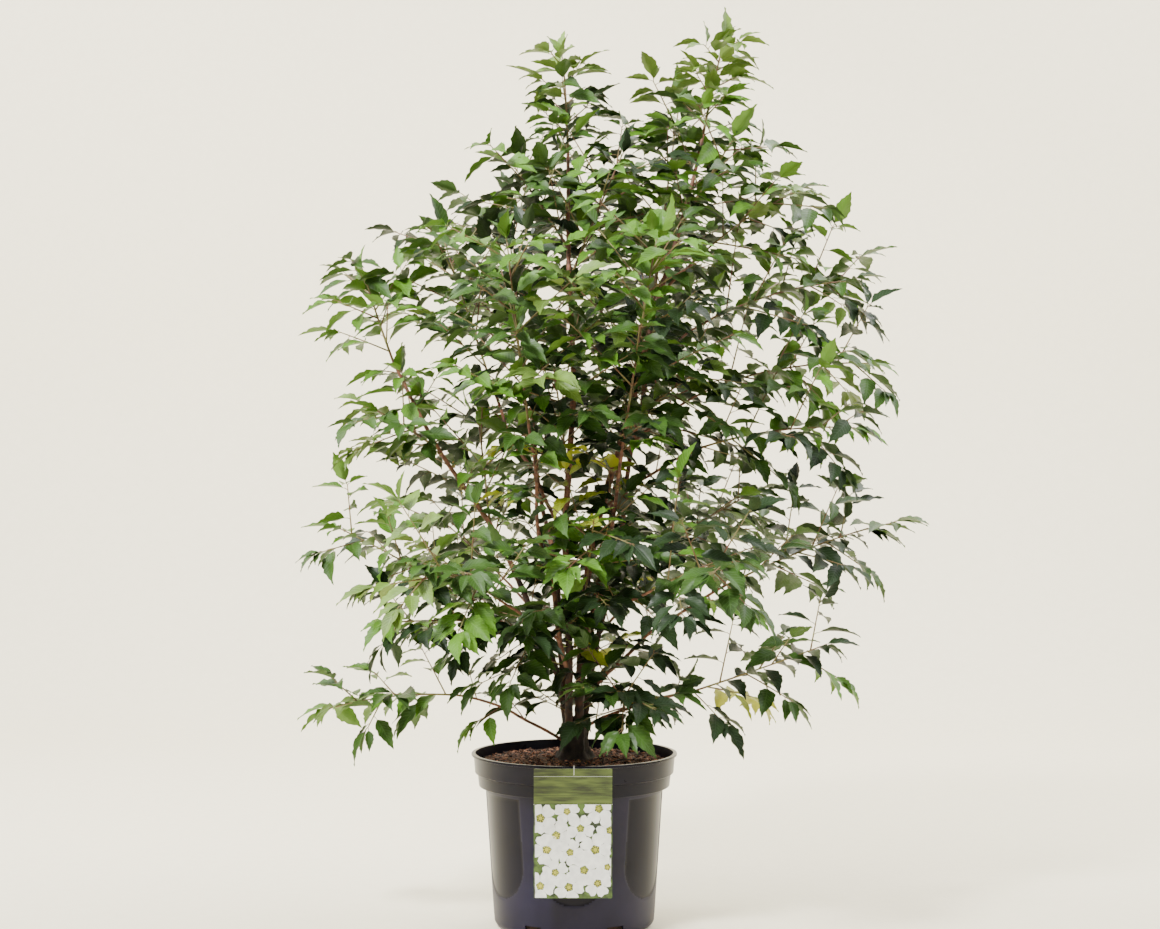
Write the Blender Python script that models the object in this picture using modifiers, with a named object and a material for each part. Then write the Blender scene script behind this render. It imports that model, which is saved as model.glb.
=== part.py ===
"""Potted flowering cherry shrub, in metres, +Z up, front towards -Y.

The origin is the middle of the pot's flat underside. A turned nursery pot holds a plug of
bark-chip mix and carries a picture label. From a flared root crown several tapering stems and
boughs rise, and every stem or bough ends in a mass of leaves that keeps to its own space.
"""
from collections import namedtuple
from math import cos, pi, radians, sin
from random import Random

import bmesh
import bpy
from mathutils import Matrix, Vector
from mathutils.bvhtree import BVHTree

OBJECT_NAME = "potted_flowering_cherry"

# Clearance between pieces that touch
GAP = 0.0003
MERGE = 0.00002
WELD = 0.0000015

# Pot: a 15 litre nursery container
POT_HEIGHT = 0.275
RIM_RADIUS = 0.165
RIM_LIP = 0.004
UPPER_BAND_RADIUS = 0.1615
UPPER_BAND_HEIGHT = 0.031
LOWER_BAND_RADIUS = 0.1552
LOWER_BAND_HEIGHT = 0.021
BAND_DRAFT = 0.0022
WALL_TOP_RADIUS = 0.1425
BASE_RADIUS = 0.1278
BASE_ROUNDING = 0.012
WALL = 0.0026
POT_FLOOR = 0.004
POT_SIDES = 32

# Shallow tongue-shaped panels in the wall, and drain notches under the ribs between them
PANELS = 6
PANEL_DEPTH = 0.0011
PANEL_TOP = 0.216
PANEL_BOTTOM = 0.054
PANEL_WIDTH = 0.112
PANEL_STRAIGHT_FOOT = 0.110
NOTCH_WIDTH = 0.029
NOTCH_HEIGHT = 0.019
NOTCH_DEPTH = 0.016

# Bark-chip mix
MIX_EDGE_HEIGHT = 0.2585
MIX_CROWN_HEIGHT = 0.2640
MIX_ROUGHNESS = 0.0016

# Picture label, hung over the rim by its own hook
LABEL_WIDTH = 0.120
LABEL_HEIGHT = 0.198
LABEL_THICKNESS = 0.0012
LABEL_TOP = 0.2725
LABEL_OFFSET_X = -0.0015
LABEL_TURN = radians(-0.7)
HOOK_WIDTH = 0.007
HOOK_THICKNESS = 0.0010
HOOK_INNER_LEG = 0.016

# Root crown: flat cut where the shrub leaves the mix, flared foot, rounded head
CROWN_FOOT_RADIUS = 0.034
CROWN_NECK_RADIUS = 0.0205
CROWN_HEAD_RADIUS = 0.0225
CROWN_FLARE_HEIGHT = 0.016
CROWN_HEIGHT = 0.068
CROWN_SIDES = 16

# Limbs: Bezier handles as a share of the chord, and the side-to-side wander of the wood
HANDLE = 0.36
WANDER = 0.0045
LIMB_STEP = 0.085

# Leaves and twigs of the masses
LEAF_LENGTH = 0.094
LEAF_WIDTH = 0.056
LEAF_THICKNESS = 0.0013
LEAF_SHOULDER = 0.43
LEAF_FOLD = radians(16)
LEAF_ANGLE = radians(56)
TIP_LEAF_ANGLE = radians(26)
LEAF_DROOP = radians(30)
LEAF_CLEARANCE = 0.0012
LEAF_TRIES = 18
LEAF_PITCH = 0.050
LEAF_FACING = 0.55
CROWN_MIDDLE_X = 0.05
TWIGS_PER_METRE = 17
HEART = 0.55
TIP_LEAF_SETBACK = 0.005
TWIG_ANGLE = radians(60)
TWIG_BASE_RADIUS = 0.0024
TWIG_TIP_RADIUS = 0.0017
TWIG_TRIES = 8
SPIRAL = radians(137.5)
SPACE_MARGIN = 0.0012
FOLIAGE_FLOOR = POT_HEIGHT + 0.004

UP = Vector((0, 0, 1))

# A limb leaves its carrier at a height, ends at a tip, and is pitched up at both ends.
# Sway bows it sideways, to the left of its bearing when seen from above.
Limb = namedtuple("Limb", "name carrier height tip leave arrive sway base_d tip_d")
CROWN = "root_crown"
LIMBS = (
    Limb("stem_left_leader", CROWN, 0.298, (-0.010, -0.018, 1.235), 76, 93, 0.010, 0.0130, 0.0050),
    Limb("stem_right_leader", CROWN, 0.300, (0.208, 0.018, 1.270), 92, 78, 0.000, 0.0145, 0.0050),
    Limb("stem_left", CROWN, 0.300, (-0.292, 0.000, 0.905), 86, 66, -0.012, 0.0115, 0.0044),
    Limb("stem_middle", CROWN, 0.300, (0.130, 0.055, 1.000), 80, 84, 0.000, 0.0105, 0.0046),
    Limb("stem_back_left", CROWN, 0.300, (-0.080, 0.155, 0.880), 80, 74, 0.000, 0.0105, 0.0046),
    Limb("stem_back_right", CROWN, 0.300, (0.100, 0.175, 0.860), 78, 72, 0.000, 0.0105, 0.0046),
    Limb("stem_front_left", "stem_left_leader", 0.400, (-0.070, -0.145, 0.800), 62, 76, 0.0, 0.0080, 0.0042),
    Limb("stem_front_right", "stem_right_leader", 0.430, (0.080, -0.135, 0.800), 60, 76, 0.0, 0.0080, 0.0042),
    Limb("stem_upper_left", "stem_left_leader", 0.620, (-0.135, 0.020, 0.870), 60, 70, 0.0, 0.0068, 0.0040),
    Limb("bough_foot_left", CROWN, 0.290, (-0.185, -0.018, 0.368), 28, 8, 0.0, 0.0052, 0.0036),
    Limb("bough_foot_right", CROWN, 0.312, (0.190, -0.030, 0.376), 30, 12, 0.0, 0.0058, 0.0036),
    Limb("bough_low_left", "stem_left", 0.452, (-0.180, -0.012, 0.526), 16, 30, 0.0, 0.0058, 0.0038),
    Limb("bough_low_right", "stem_middle", 0.365, (0.250, 0.012, 0.545), 50, 28, 0.0, 0.0066, 0.0040),
    Limb("bough_low_front_left", "stem_front_left", 0.455, (-0.115, -0.155, 0.530), 40, 30, 0.0, 0.0052, 0.0036),
    Limb("bough_low_front_right", "stem_front_right", 0.490, (0.120, -0.160, 0.545), 30, 26, 0.0, 0.0052, 0.0036),
    Limb("bough_low_back_left", "stem_back_left", 0.430, (-0.120, 0.165, 0.545), 40, 26, 0.0, 0.0056, 0.0036),
    Limb("bough_low_back_right", "stem_back_right", 0.430, (0.130, 0.180, 0.545), 40, 26, 0.0, 0.0056, 0.0036),
    Limb("bough_right_under", "stem_right_leader", 0.665, (0.205, -0.045, 0.765), 38, 22, 0.0, 0.0052, 0.0036),
    Limb("bough_right_lower", "stem_right_leader", 0.745, (0.225, 0.004, 0.862), 44, 26, 0.0, 0.0054, 0.0036),
    Limb("bough_right_middle", "stem_right_leader", 0.880, (0.225, 0.030, 0.975), 48, 30, 0.0, 0.0050, 0.0036),
    Limb("bough_right_upper", "stem_right_leader", 1.000, (0.215, 0.018, 1.085), 58, 44, 0.0, 0.0046, 0.0036),
)
# Where the stems and boughs that spring from the root crown stand on it
FEET = {
    "stem_left_leader": (-0.0085, -0.0105),
    "stem_right_leader": (0.0080, -0.0080),
    "stem_left": (-0.0125, 0.0025),
    "stem_middle": (0.0125, 0.0055),
    "stem_back_left": (-0.0065, 0.0125),
    "stem_back_right": (0.0050, 0.0140),
    "bough_foot_left": (-0.0100, -0.0040),
    "bough_foot_right": (0.0100, -0.0060),
}

# A mass springs from a limb, at a height or at its tip, and its own stem ends at a tip.
# Reach is how far its twigs spread from that stem; a mass without it has leaves on its stem only.
Mass = namedtuple("Mass", "name limb height tip reach")
TIP = None
MASSES = (
    Mass("leaves_left_top", "stem_left_leader", TIP, (-0.018, -0.018, 1.385), 0.045),
    Mass("leaves_right_top", "stem_right_leader", TIP, (0.240, 0.018, 1.415), 0.040),
    Mass("leaves_left_shoulder", "stem_left", TIP, (-0.335, 0.000, 1.035), 0.085),
    Mass("leaves_upper_left", "stem_upper_left", TIP, (-0.215, 0.045, 1.110), 0.120),
    Mass("leaves_middle_top", "stem_middle", TIP, (0.172, 0.085, 1.325), 0.120),
    Mass("leaves_back_left_top", "stem_back_left", TIP, (-0.120, 0.240, 1.200), 0.130),
    Mass("leaves_back_right_top", "stem_back_right", TIP, (0.160, 0.270, 1.160), 0.140),
    Mass("leaves_front_left_top", "stem_front_left", TIP, (-0.100, -0.225, 1.070), 0.130),
    Mass("leaves_front_right_top", "stem_front_right", TIP, (0.125, -0.220, 1.080), 0.140),
    Mass("leaves_low_left", "bough_low_left", TIP, (-0.375, -0.020, 0.635), 0.090),
    Mass("leaves_foot_left", "bough_foot_left", TIP, (-0.385, -0.030, 0.350), 0.065),
    Mass("leaves_low_right", "bough_low_right", TIP, (0.475, 0.020, 0.634), 0.110),
    Mass("leaves_foot_right", "bough_foot_right", TIP, (0.395, -0.045, 0.450), 0.090),
    Mass("leaves_low_front_left", "bough_low_front_left", TIP, (-0.215, -0.300, 0.590), 0.120),
    Mass("leaves_low_front_right", "bough_low_front_right", TIP, (0.235, -0.300, 0.595), 0.120),
    Mass("leaves_low_back_left", "bough_low_back_left", TIP, (-0.240, 0.310, 0.645), 0.130),
    Mass("leaves_low_back_right", "bough_low_back_right", TIP, (0.265, 0.325, 0.650), 0.130),
    Mass("leaves_right_under", "bough_right_under", TIP, (0.435, -0.085, 0.795), 0.100),
    Mass("leaves_right_lower", "bough_right_lower", TIP, (0.475, 0.010, 0.900), 0.110),
    Mass("leaves_right_middle", "bough_right_middle", TIP, (0.455, 0.050, 1.040), 0.120),
    Mass("leaves_right_upper", "bough_right_upper", TIP, (0.350, 0.035, 1.175), 0.120),
    Mass("leaves_left_high", "stem_left_leader", 1.080, (-0.095, 0.020, 1.215), 0.110),
    Mass("leaves_centre_high", "stem_left_leader", 1.030, (0.075, -0.055, 1.225), 0.130),
    Mass("leaves_right_high", "stem_right_leader", 1.120, (0.250, -0.030, 1.250), 0.110),
    Mass("leaves_centre_front", "stem_left_leader", 0.720, (-0.030, -0.170, 0.880), 0.150),
    Mass("leaves_centre_back", "stem_middle", 0.740, (0.050, 0.190, 0.870), 0.150),
    Mass("leaves_centre_right", "stem_right_leader", 0.800, (0.190, -0.110, 0.880), 0.140),
    Mass("leaves_left_middle", "stem_left", 0.760, (-0.310, -0.020, 0.820), 0.110),
    Mass("leaves_left_inner", "stem_left", 0.640, (-0.160, 0.100, 0.820), 0.140),
    Mass("leaves_left_under", "bough_low_left", 0.485, (-0.290, -0.090, 0.490), 0.070),
    Mass("leaves_right_inner", "stem_middle", 0.560, (0.290, 0.060, 0.690), 0.090),
    Mass("leaves_front_low", "stem_right_leader", 0.500, (0.030, -0.185, 0.650), 0.145),
    Mass("leaves_foot_front", "bough_foot_right", 0.345, (0.075, -0.120, 0.385), 0.090),
    Mass("leaves_left_low_inner", "stem_left", 0.425, (-0.105, -0.095, 0.480), 0.120),
)

PARTS = None
TOOLS = None


def material(name, colour, roughness, metallic=0.0):
    """One Principled material."""
    made = bpy.data.materials.new(name)
    made.use_nodes = True
    shader = made.node_tree.nodes["Principled BSDF"]
    shader.inputs["Base Color"].default_value = (*colour, 1)
    shader.inputs["Roughness"].default_value = roughness
    shader.inputs["Metallic"].default_value = metallic
    made.diffuse_color = (*colour, 1)
    return made


def add_object(name, mesh, finish=None, collection=None):
    """An object for a mesh, in the parts' collection unless another is given."""
    made = bpy.data.objects.new(name, mesh)
    (collection or PARTS).objects.link(made)
    if finish:
        mesh.materials.clear()
        mesh.materials.append(finish)
    return made


def add_bmesh(name, shape, finish=None, collection=None):
    """An object for a bmesh, which is freed."""
    mesh = bpy.data.meshes.new(name)
    shape.to_mesh(mesh)
    shape.free()
    return add_object(name, mesh, finish, collection)


def drop(obj):
    """Remove an object and its own data."""
    data = obj.data
    bpy.data.objects.remove(obj)
    if isinstance(data, bpy.types.Mesh):
        bpy.data.meshes.remove(data)
    else:
        bpy.data.curves.remove(data)


def as_mesh(obj, merge=MERGE):
    """The evaluated shape of an object as a plain welded mesh in world space; the object goes."""
    depsgraph = bpy.context.evaluated_depsgraph_get()
    mesh = bpy.data.meshes.new_from_object(obj.evaluated_get(depsgraph))
    mesh.transform(obj.matrix_world)
    shape = bmesh.new()
    shape.from_mesh(mesh)
    bmesh.ops.remove_doubles(shape, verts=shape.verts, dist=merge)
    bmesh.ops.recalc_face_normals(shape, faces=shape.faces)
    shape.to_mesh(mesh)
    shape.free()
    drop(obj)
    return mesh


def boolean(obj, operation, cutter, solver="EXACT"):
    """Apply one Boolean with an object or with all the objects of a collection."""
    modifier = obj.modifiers.new(operation.lower(), "BOOLEAN")
    modifier.operation = operation
    modifier.solver = solver
    if isinstance(cutter, bpy.types.Collection):
        modifier.operand_type = "COLLECTION"
        modifier.collection = cutter
    else:
        modifier.object = cutter
    bpy.context.view_layer.update()
    depsgraph = bpy.context.evaluated_depsgraph_get()
    mesh = bpy.data.meshes.new_from_object(obj.evaluated_get(depsgraph))
    obj.modifiers.remove(modifier)
    return mesh


def turned(name, profile, sides, finish=None, collection=None):
    """A body turned round Z from (radius, height) points, listed down its outer side."""
    curve_mesh = bpy.data.meshes.new(name)
    points = [(radius, 0, height) for radius, height in profile]
    edges = [(i, i + 1) for i in range(len(points) - 1)]
    curve_mesh.from_pydata(points, edges, [])
    made = add_object(name, curve_mesh, None, collection)
    screw = made.modifiers.new("turn", "SCREW")
    screw.steps = screw.render_steps = sides
    screw.use_merge_vertices = True
    screw.merge_threshold = MERGE
    bpy.context.view_layer.update()
    return add_object(name, as_mesh(made), finish, collection)


def arc(centre, radius, start, end, steps):
    """Points on an arc, angles in degrees."""
    angles = [radians(start + (end - start) * i / steps) for i in range(steps + 1)]
    return [(centre[0] + radius * cos(a), centre[1] + radius * sin(a)) for a in angles]


def wall_radius(height):
    """Outer radius of the pot's tapered wall, below the bands."""
    top = POT_HEIGHT - UPPER_BAND_HEIGHT - LOWER_BAND_HEIGHT
    return BASE_RADIUS + (WALL_TOP_RADIUS - BASE_RADIUS) * height / top


def pot_profile():
    """The pot's section: inner floor, inner wall, rim, outer bands, wall and rounded base."""
    upper_foot = POT_HEIGHT - UPPER_BAND_HEIGHT
    lower_foot = upper_foot - LOWER_BAND_HEIGHT
    inner = [
        (0, POT_FLOOR),
        (wall_radius(POT_FLOOR) - WALL - BASE_ROUNDING * 0.6, POT_FLOOR),
        (wall_radius(BASE_ROUNDING) - WALL, BASE_ROUNDING),
        (WALL_TOP_RADIUS - WALL, lower_foot + WALL),
        (LOWER_BAND_RADIUS - BAND_DRAFT - WALL, lower_foot + WALL + 0.004),
        (LOWER_BAND_RADIUS - WALL, upper_foot + WALL),
        (UPPER_BAND_RADIUS - BAND_DRAFT - WALL, upper_foot + WALL + 0.004),
        (UPPER_BAND_RADIUS - WALL, POT_HEIGHT),
    ]
    rim = [
        (RIM_RADIUS - 0.001, POT_HEIGHT),
        (RIM_RADIUS, POT_HEIGHT - 0.001),
        (RIM_RADIUS, POT_HEIGHT - RIM_LIP + 0.001),
        (RIM_RADIUS - 0.001, POT_HEIGHT - RIM_LIP),
        (UPPER_BAND_RADIUS, POT_HEIGHT - RIM_LIP),
    ]
    bands = [
        (UPPER_BAND_RADIUS - BAND_DRAFT, upper_foot),
        (LOWER_BAND_RADIUS, upper_foot - 0.001),
        (LOWER_BAND_RADIUS - BAND_DRAFT, lower_foot),
        (WALL_TOP_RADIUS, lower_foot - 0.001),
    ]
    centre = (wall_radius(BASE_ROUNDING) - BASE_ROUNDING, BASE_ROUNDING)
    base = arc(centre, BASE_ROUNDING, 0, -90, 2)
    return inner + rim + bands + base + [(0, 0)]


def panel_cutter():
    """A thin conical sleeve, kept only inside six round-ended tongues."""
    low, high = PANEL_BOTTOM - 0.02, PANEL_TOP + 0.012
    inner_low = wall_radius(low) - PANEL_DEPTH
    inner_high = wall_radius(high) - PANEL_DEPTH
    sleeve = turned("panel_sleeve", [
        (inner_low, low), (inner_high, high), (inner_high + 0.01, high),
        (inner_low + 0.01, low), (inner_low, low)], POT_SIDES, None, TOOLS)
    half = PANEL_WIDTH / 2
    foot = PANEL_STRAIGHT_FOOT
    drop_height = foot - PANEL_BOTTOM
    outline = [(-half, PANEL_TOP), (half, PANEL_TOP)]
    outline += [(half * cos(a), foot + drop_height * sin(a))
                for a in [-pi * i / 8 for i in range(9)]]
    tongues = bpy.data.collections.new("tongues")
    bpy.context.scene.collection.children.link(tongues)
    for number in range(PANELS):
        tongue = extruded("tongue", outline, 0.06, tongues)
        turn = Matrix.Rotation(number * 2 * pi / PANELS, 4, "Z")
        upright = Matrix.Rotation(pi / 2, 4, "X")
        out = Matrix.Translation((0, -WALL_TOP_RADIUS, 0))
        tongue.data.transform(turn @ out @ upright)
    first = tongues.objects[0]
    tongues.objects.unlink(first)
    TOOLS.objects.link(first)
    mesh = boolean(first, "UNION", tongues)
    drop(first)
    for obj in list(tongues.objects):
        drop(obj)
    bpy.data.collections.remove(tongues)
    joined = add_object("tongues", mesh, None, TOOLS)
    cutter = add_object("panels", boolean(sleeve, "INTERSECT", joined), None, TOOLS)
    drop(sleeve)
    drop(joined)
    return cutter


def extruded(name, outline, thickness, collection=None, finish=None):
    """A flat outline in XY, extruded to a thickness about Z, as a mesh object."""
    curve = bpy.data.curves.new(name, "CURVE")
    curve.dimensions = "2D"
    curve.fill_mode = "BOTH"
    curve.extrude = thickness / 2
    spline = curve.splines.new("POLY")
    spline.points.add(len(outline) - 1)
    for point, place in zip(spline.points, outline):
        point.co = (place[0], place[1], 0, 1)
    spline.use_cyclic_u = True
    made = bpy.data.objects.new(name, curve)
    (collection or PARTS).objects.link(made)
    bpy.context.view_layer.update()
    return add_object(name, as_mesh(made), finish, collection)


def make_pot():
    """The nursery pot, with its panels and drain notches cut."""
    finish = material("pot_navy_plastic", (0.022, 0.022, 0.035), 0.28)
    pot = turned("pot_blank", pot_profile(), POT_SIDES, None, TOOLS)
    panels = panel_cutter()
    mesh = boolean(pot, "DIFFERENCE", panels)
    drop(pot)
    drop(panels)
    pot = add_object("pot_blank", mesh, None, TOOLS)
    notches = bpy.data.collections.new("notches")
    bpy.context.scene.collection.children.link(notches)
    for number in range(PANELS):
        shape = bmesh.new()
        bmesh.ops.create_cube(shape, size=1)
        angle = (number + 0.5) * 2 * pi / PANELS
        place = Matrix.Rotation(angle, 4, "Z") @ Matrix.Translation((0, -BASE_RADIUS, 0))
        size = Matrix.Diagonal((NOTCH_WIDTH, NOTCH_DEPTH, 2 * NOTCH_HEIGHT, 1))
        shape.transform(place @ size)
        add_bmesh("notch", shape, None, notches)
    mesh = boolean(pot, "DIFFERENCE", notches)
    for obj in list(notches.objects):
        drop(obj)
    bpy.data.collections.remove(notches)
    drop(pot)
    made = add_object("pot", mesh, finish)
    made.data.shade_smooth()
    made.data.set_sharp_from_angle(angle=radians(35))
    return made


def make_mix():
    """The plug of bark-chip mix, domed a little and uneven on top."""
    finish = material("bark_chip_mix", (0.16, 0.075, 0.045), 0.9)
    low = POT_FLOOR + GAP
    band_step = POT_HEIGHT - UPPER_BAND_HEIGHT - LOWER_BAND_HEIGHT
    inner_foot = wall_radius(POT_FLOOR) - WALL - BASE_ROUNDING * 0.6 - GAP
    edge = LOWER_BAND_RADIUS - BAND_DRAFT - WALL - 4 * GAP
    rings = 4
    crown = [(edge * (1 - i / rings), MIX_EDGE_HEIGHT + (MIX_CROWN_HEIGHT - MIX_EDGE_HEIGHT)
              * sin(pi / 2 * i / rings)) for i in range(1, rings + 1)]
    profile = list(reversed(crown)) + [
        (edge, MIX_EDGE_HEIGHT),
        (edge, band_step + WALL + 0.006),
        (WALL_TOP_RADIUS - WALL - 2 * GAP, band_step + WALL),
        (wall_radius(BASE_ROUNDING) - WALL - 2 * GAP, BASE_ROUNDING + GAP),
        (inner_foot, low),
        (0, low)]
    made = turned("potting_mix", profile, 24, finish)
    rng = Random(11)
    flat = CROWN_FOOT_RADIUS + 0.006
    for vertex in made.data.vertices:
        place = vertex.co
        if place.z > MIX_EDGE_HEIGHT - 0.001 and flat < place.xy.length < edge - 0.005:
            place.z += rng.uniform(-1, 1) * MIX_ROUGHNESS
    return made


def make_label():
    """The stiff picture label on the pot's front, with the hook that holds it over the rim."""
    finish = material("label_card", (0.80, 0.84, 0.76), 0.35)
    front = -(RIM_RADIUS + GAP)
    shape = bmesh.new()
    bmesh.ops.create_cube(shape, size=1)
    size = Matrix.Diagonal((LABEL_WIDTH, LABEL_THICKNESS, LABEL_HEIGHT, 1))
    middle = Vector((LABEL_OFFSET_X, front - LABEL_THICKNESS / 2, LABEL_TOP - LABEL_HEIGHT / 2))
    shape.transform(Matrix.Translation(middle) @ Matrix.Rotation(LABEL_TURN, 4, "Y") @ size)
    card = add_bmesh("card", shape, None, TOOLS)
    over = POT_HEIGHT + GAP
    band_inner = -(UPPER_BAND_RADIUS - BAND_DRAFT - WALL - 2 * GAP)
    outside = front - LABEL_THICKNESS
    inside_foot = POT_HEIGHT - HOOK_INNER_LEG + 0.004
    thick = HOOK_THICKNESS
    outline = [
        (front, LABEL_TOP - 0.012), (front, over), (band_inner, over),
        (band_inner, inside_foot), (band_inner + thick, inside_foot),
        (band_inner + thick, over + thick), (outside - 0.0002, over + thick),
        (outside - 0.0002, LABEL_TOP - 0.012)]
    hook = extruded("hook", outline, HOOK_WIDTH, TOOLS)
    hook.data.transform(Matrix.Rotation(pi / 2, 4, "Y") @ Matrix.Rotation(pi / 2, 4, "Z"))
    mesh = boolean(card, "UNION", hook)
    drop(card)
    drop(hook)
    return add_object("picture_label", mesh, finish)


def crown_profile(grow=0.0):
    """The root crown's section above its flat cut, grown outwards by a clearance."""
    foot = MIX_CROWN_HEIGHT + GAP
    neck = foot + CROWN_FLARE_HEIGHT
    head = foot + CROWN_HEIGHT - CROWN_HEAD_RADIUS
    dome = arc((0, head), CROWN_HEAD_RADIUS + grow, 90, 0, 4)
    dome[0] = (0, head + CROWN_HEAD_RADIUS + grow)
    flare = [(CROWN_NECK_RADIUS + grow, neck + 0.008),
             (CROWN_NECK_RADIUS + 0.0035 + grow, neck),
             (CROWN_FOOT_RADIUS - 0.006 + grow, foot + 0.005),
             (CROWN_FOOT_RADIUS + grow, foot)]
    return dome + flare + [(0, foot)]


def make_crown():
    """The flared foot from which the stems spring."""
    finish = material("old_bark", (0.060, 0.045, 0.038), 0.75)
    made = turned(CROWN, crown_profile(), CROWN_SIDES, finish)
    foot = MIX_CROWN_HEIGHT + GAP
    for vertex in made.data.vertices:
        place = vertex.co
        if place.z < foot + CROWN_FLARE_HEIGHT and place.xy.length > CROWN_NECK_RADIUS:
            swell = 1 + 0.10 * sin(5 * Vector((1, 0)).angle_signed(place.xy, 0) + 0.6)
            place.xy = place.xy * swell
    made.data.shade_smooth()
    return made


def bezier(p0, p1, p2, p3, t):
    """A point on a cubic Bezier curve."""
    s = 1 - t
    return p0 * s ** 3 + p1 * (3 * s * s * t) + p2 * (3 * s * t * t) + p3 * t ** 3


class Path:
    """A limb's centre line with its radii, sampled evenly enough to build on."""

    def __init__(self, points, radii):
        self.points = points
        self.radii = radii

    def at_height(self, height):
        """Where the line first passes a height."""
        for low, high in zip(self.points, self.points[1:]):
            if low.z <= height <= high.z:
                return low.lerp(high, (height - low.z) / (high.z - low.z))
        raise ValueError("the limb never passes height %.3f" % height)


def limb_path(limb, start, number):
    """The centre line of one limb: a Bezier set by its two pitches, bowed and wandering a little."""
    tip = Vector(limb.tip)
    chord = (tip - start).length
    across = Vector((tip.x - start.x, tip.y - start.y, 0))
    bearing = across.normalized()
    side = UP.cross(bearing)
    leave, arrive = radians(limb.leave), radians(limb.arrive)
    first = start + (bearing * cos(leave) + UP * sin(leave)) * chord * HANDLE
    last = tip - (bearing * cos(arrive) + UP * sin(arrive)) * chord * HANDLE
    rng = Random(100 + number)
    phases = [rng.uniform(0, 2 * pi) for _ in range(4)]
    wander = min(WANDER, chord * 0.012)
    steps = max(5, round(chord / LIMB_STEP))
    points, radii = [], []
    for i in range(steps + 1):
        t = i / steps
        hold = sin(pi * t)
        place = bezier(start, first, last, tip, t)
        place += side * (limb.sway * hold + wander * hold * sin(11 * t + phases[0]))
        place += bearing * wander * hold * sin(13 * t + phases[1])
        points.append(place)
        taper = (1 - t) ** 0.8
        radii.append((limb.tip_d + (limb.base_d - limb.tip_d) * taper) / 2)
    return Path(points, radii)


def roundness(limb_name):
    """Bevel resolution of a limb: the two leaders are rounder than the rest."""
    return 2 if limb_name.endswith("leader") else 1


def tube(name, path, grow, resolution):
    """A round tapering tube along a path, as a mesh object among the cutters."""
    curve = bpy.data.curves.new(name, "CURVE")
    curve.dimensions = "3D"
    curve.bevel_depth = 1.0
    curve.bevel_resolution = resolution
    curve.use_fill_caps = True
    curve.render_resolution_u = 0
    spline = curve.splines.new("POLY")
    spline.points.add(len(path.points) - 1)
    for point, place, radius in zip(spline.points, path.points, path.radii):
        point.co = (*place, 1)
        point.radius = radius + grow
    made = bpy.data.objects.new(name, curve)
    TOOLS.objects.link(made)
    bpy.context.view_layer.update()
    return add_object(name, as_mesh(made), None, TOOLS)


def largest_body(mesh):
    """Keep the largest closed body of a mesh; fill sealed hollows and drop scraps."""
    shape = bmesh.new()
    shape.from_mesh(mesh)
    bmesh.ops.remove_doubles(shape, verts=shape.verts, dist=WELD)
    bmesh.ops.dissolve_degenerate(shape, edges=shape.edges, dist=WELD)
    bmesh.ops.triangulate(shape, faces=shape.faces)
    seen, bodies = set(), []
    for seed in shape.faces:
        if seed in seen:
            continue
        body, stack = [], [seed]
        seen.add(seed)
        while stack:
            face = stack.pop()
            body.append(face)
            for edge in face.edges:
                for other in edge.link_faces:
                    if other not in seen:
                        seen.add(other)
                        stack.append(other)
        bodies.append(body)
    volumes = []
    for body in bodies:
        total = sum(f.verts[0].co.dot(f.verts[1].co.cross(f.verts[2].co)) for f in body) / 6
        volumes.append(total)
    best = volumes.index(max(volumes))
    spare = [face for i, body in enumerate(bodies) if i != best for face in body]
    bmesh.ops.delete(shape, geom=spare, context="FACES")
    loose = [v for v in shape.verts if not v.link_faces]
    bmesh.ops.delete(shape, geom=loose, context="VERTS")
    closed = all(len(edge.link_faces) == 2 for edge in shape.edges)
    shape.to_mesh(mesh)
    shape.free()
    return closed


def make_limbs():
    """All stems and boughs, each trimmed a hair's breadth clear of what carries it."""
    young = material("young_bark", (0.19, 0.085, 0.060), 0.55)
    paths = {}
    crown_cutter = turned("crown_cutter", crown_profile(GAP), CROWN_SIDES, None, TOOLS)
    for number, limb in enumerate(LIMBS):
        if limb.carrier == CROWN:
            start = Vector((*FEET[limb.name], limb.height))
            cutter = crown_cutter
        else:
            carrier = paths[limb.carrier]
            start = carrier.at_height(limb.height)
            cutter = tube("carrier", carrier, GAP, roundness(limb.carrier))
        path = limb_path(limb, start, number)
        paths[limb.name] = path
        blank = tube("limb", path, 0.0, roundness(limb.name))
        mesh = boolean(blank, "DIFFERENCE", cutter)
        drop(blank)
        if cutter is not crown_cutter:
            drop(cutter)
        if not largest_body(mesh):
            raise ValueError("%s is not closed" % limb.name)
        made = add_object(limb.name, mesh, young)
        made.data.shade_smooth()
        made.data.set_sharp_from_angle(angle=radians(50))
    drop(crown_cutter)
    return paths


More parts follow.
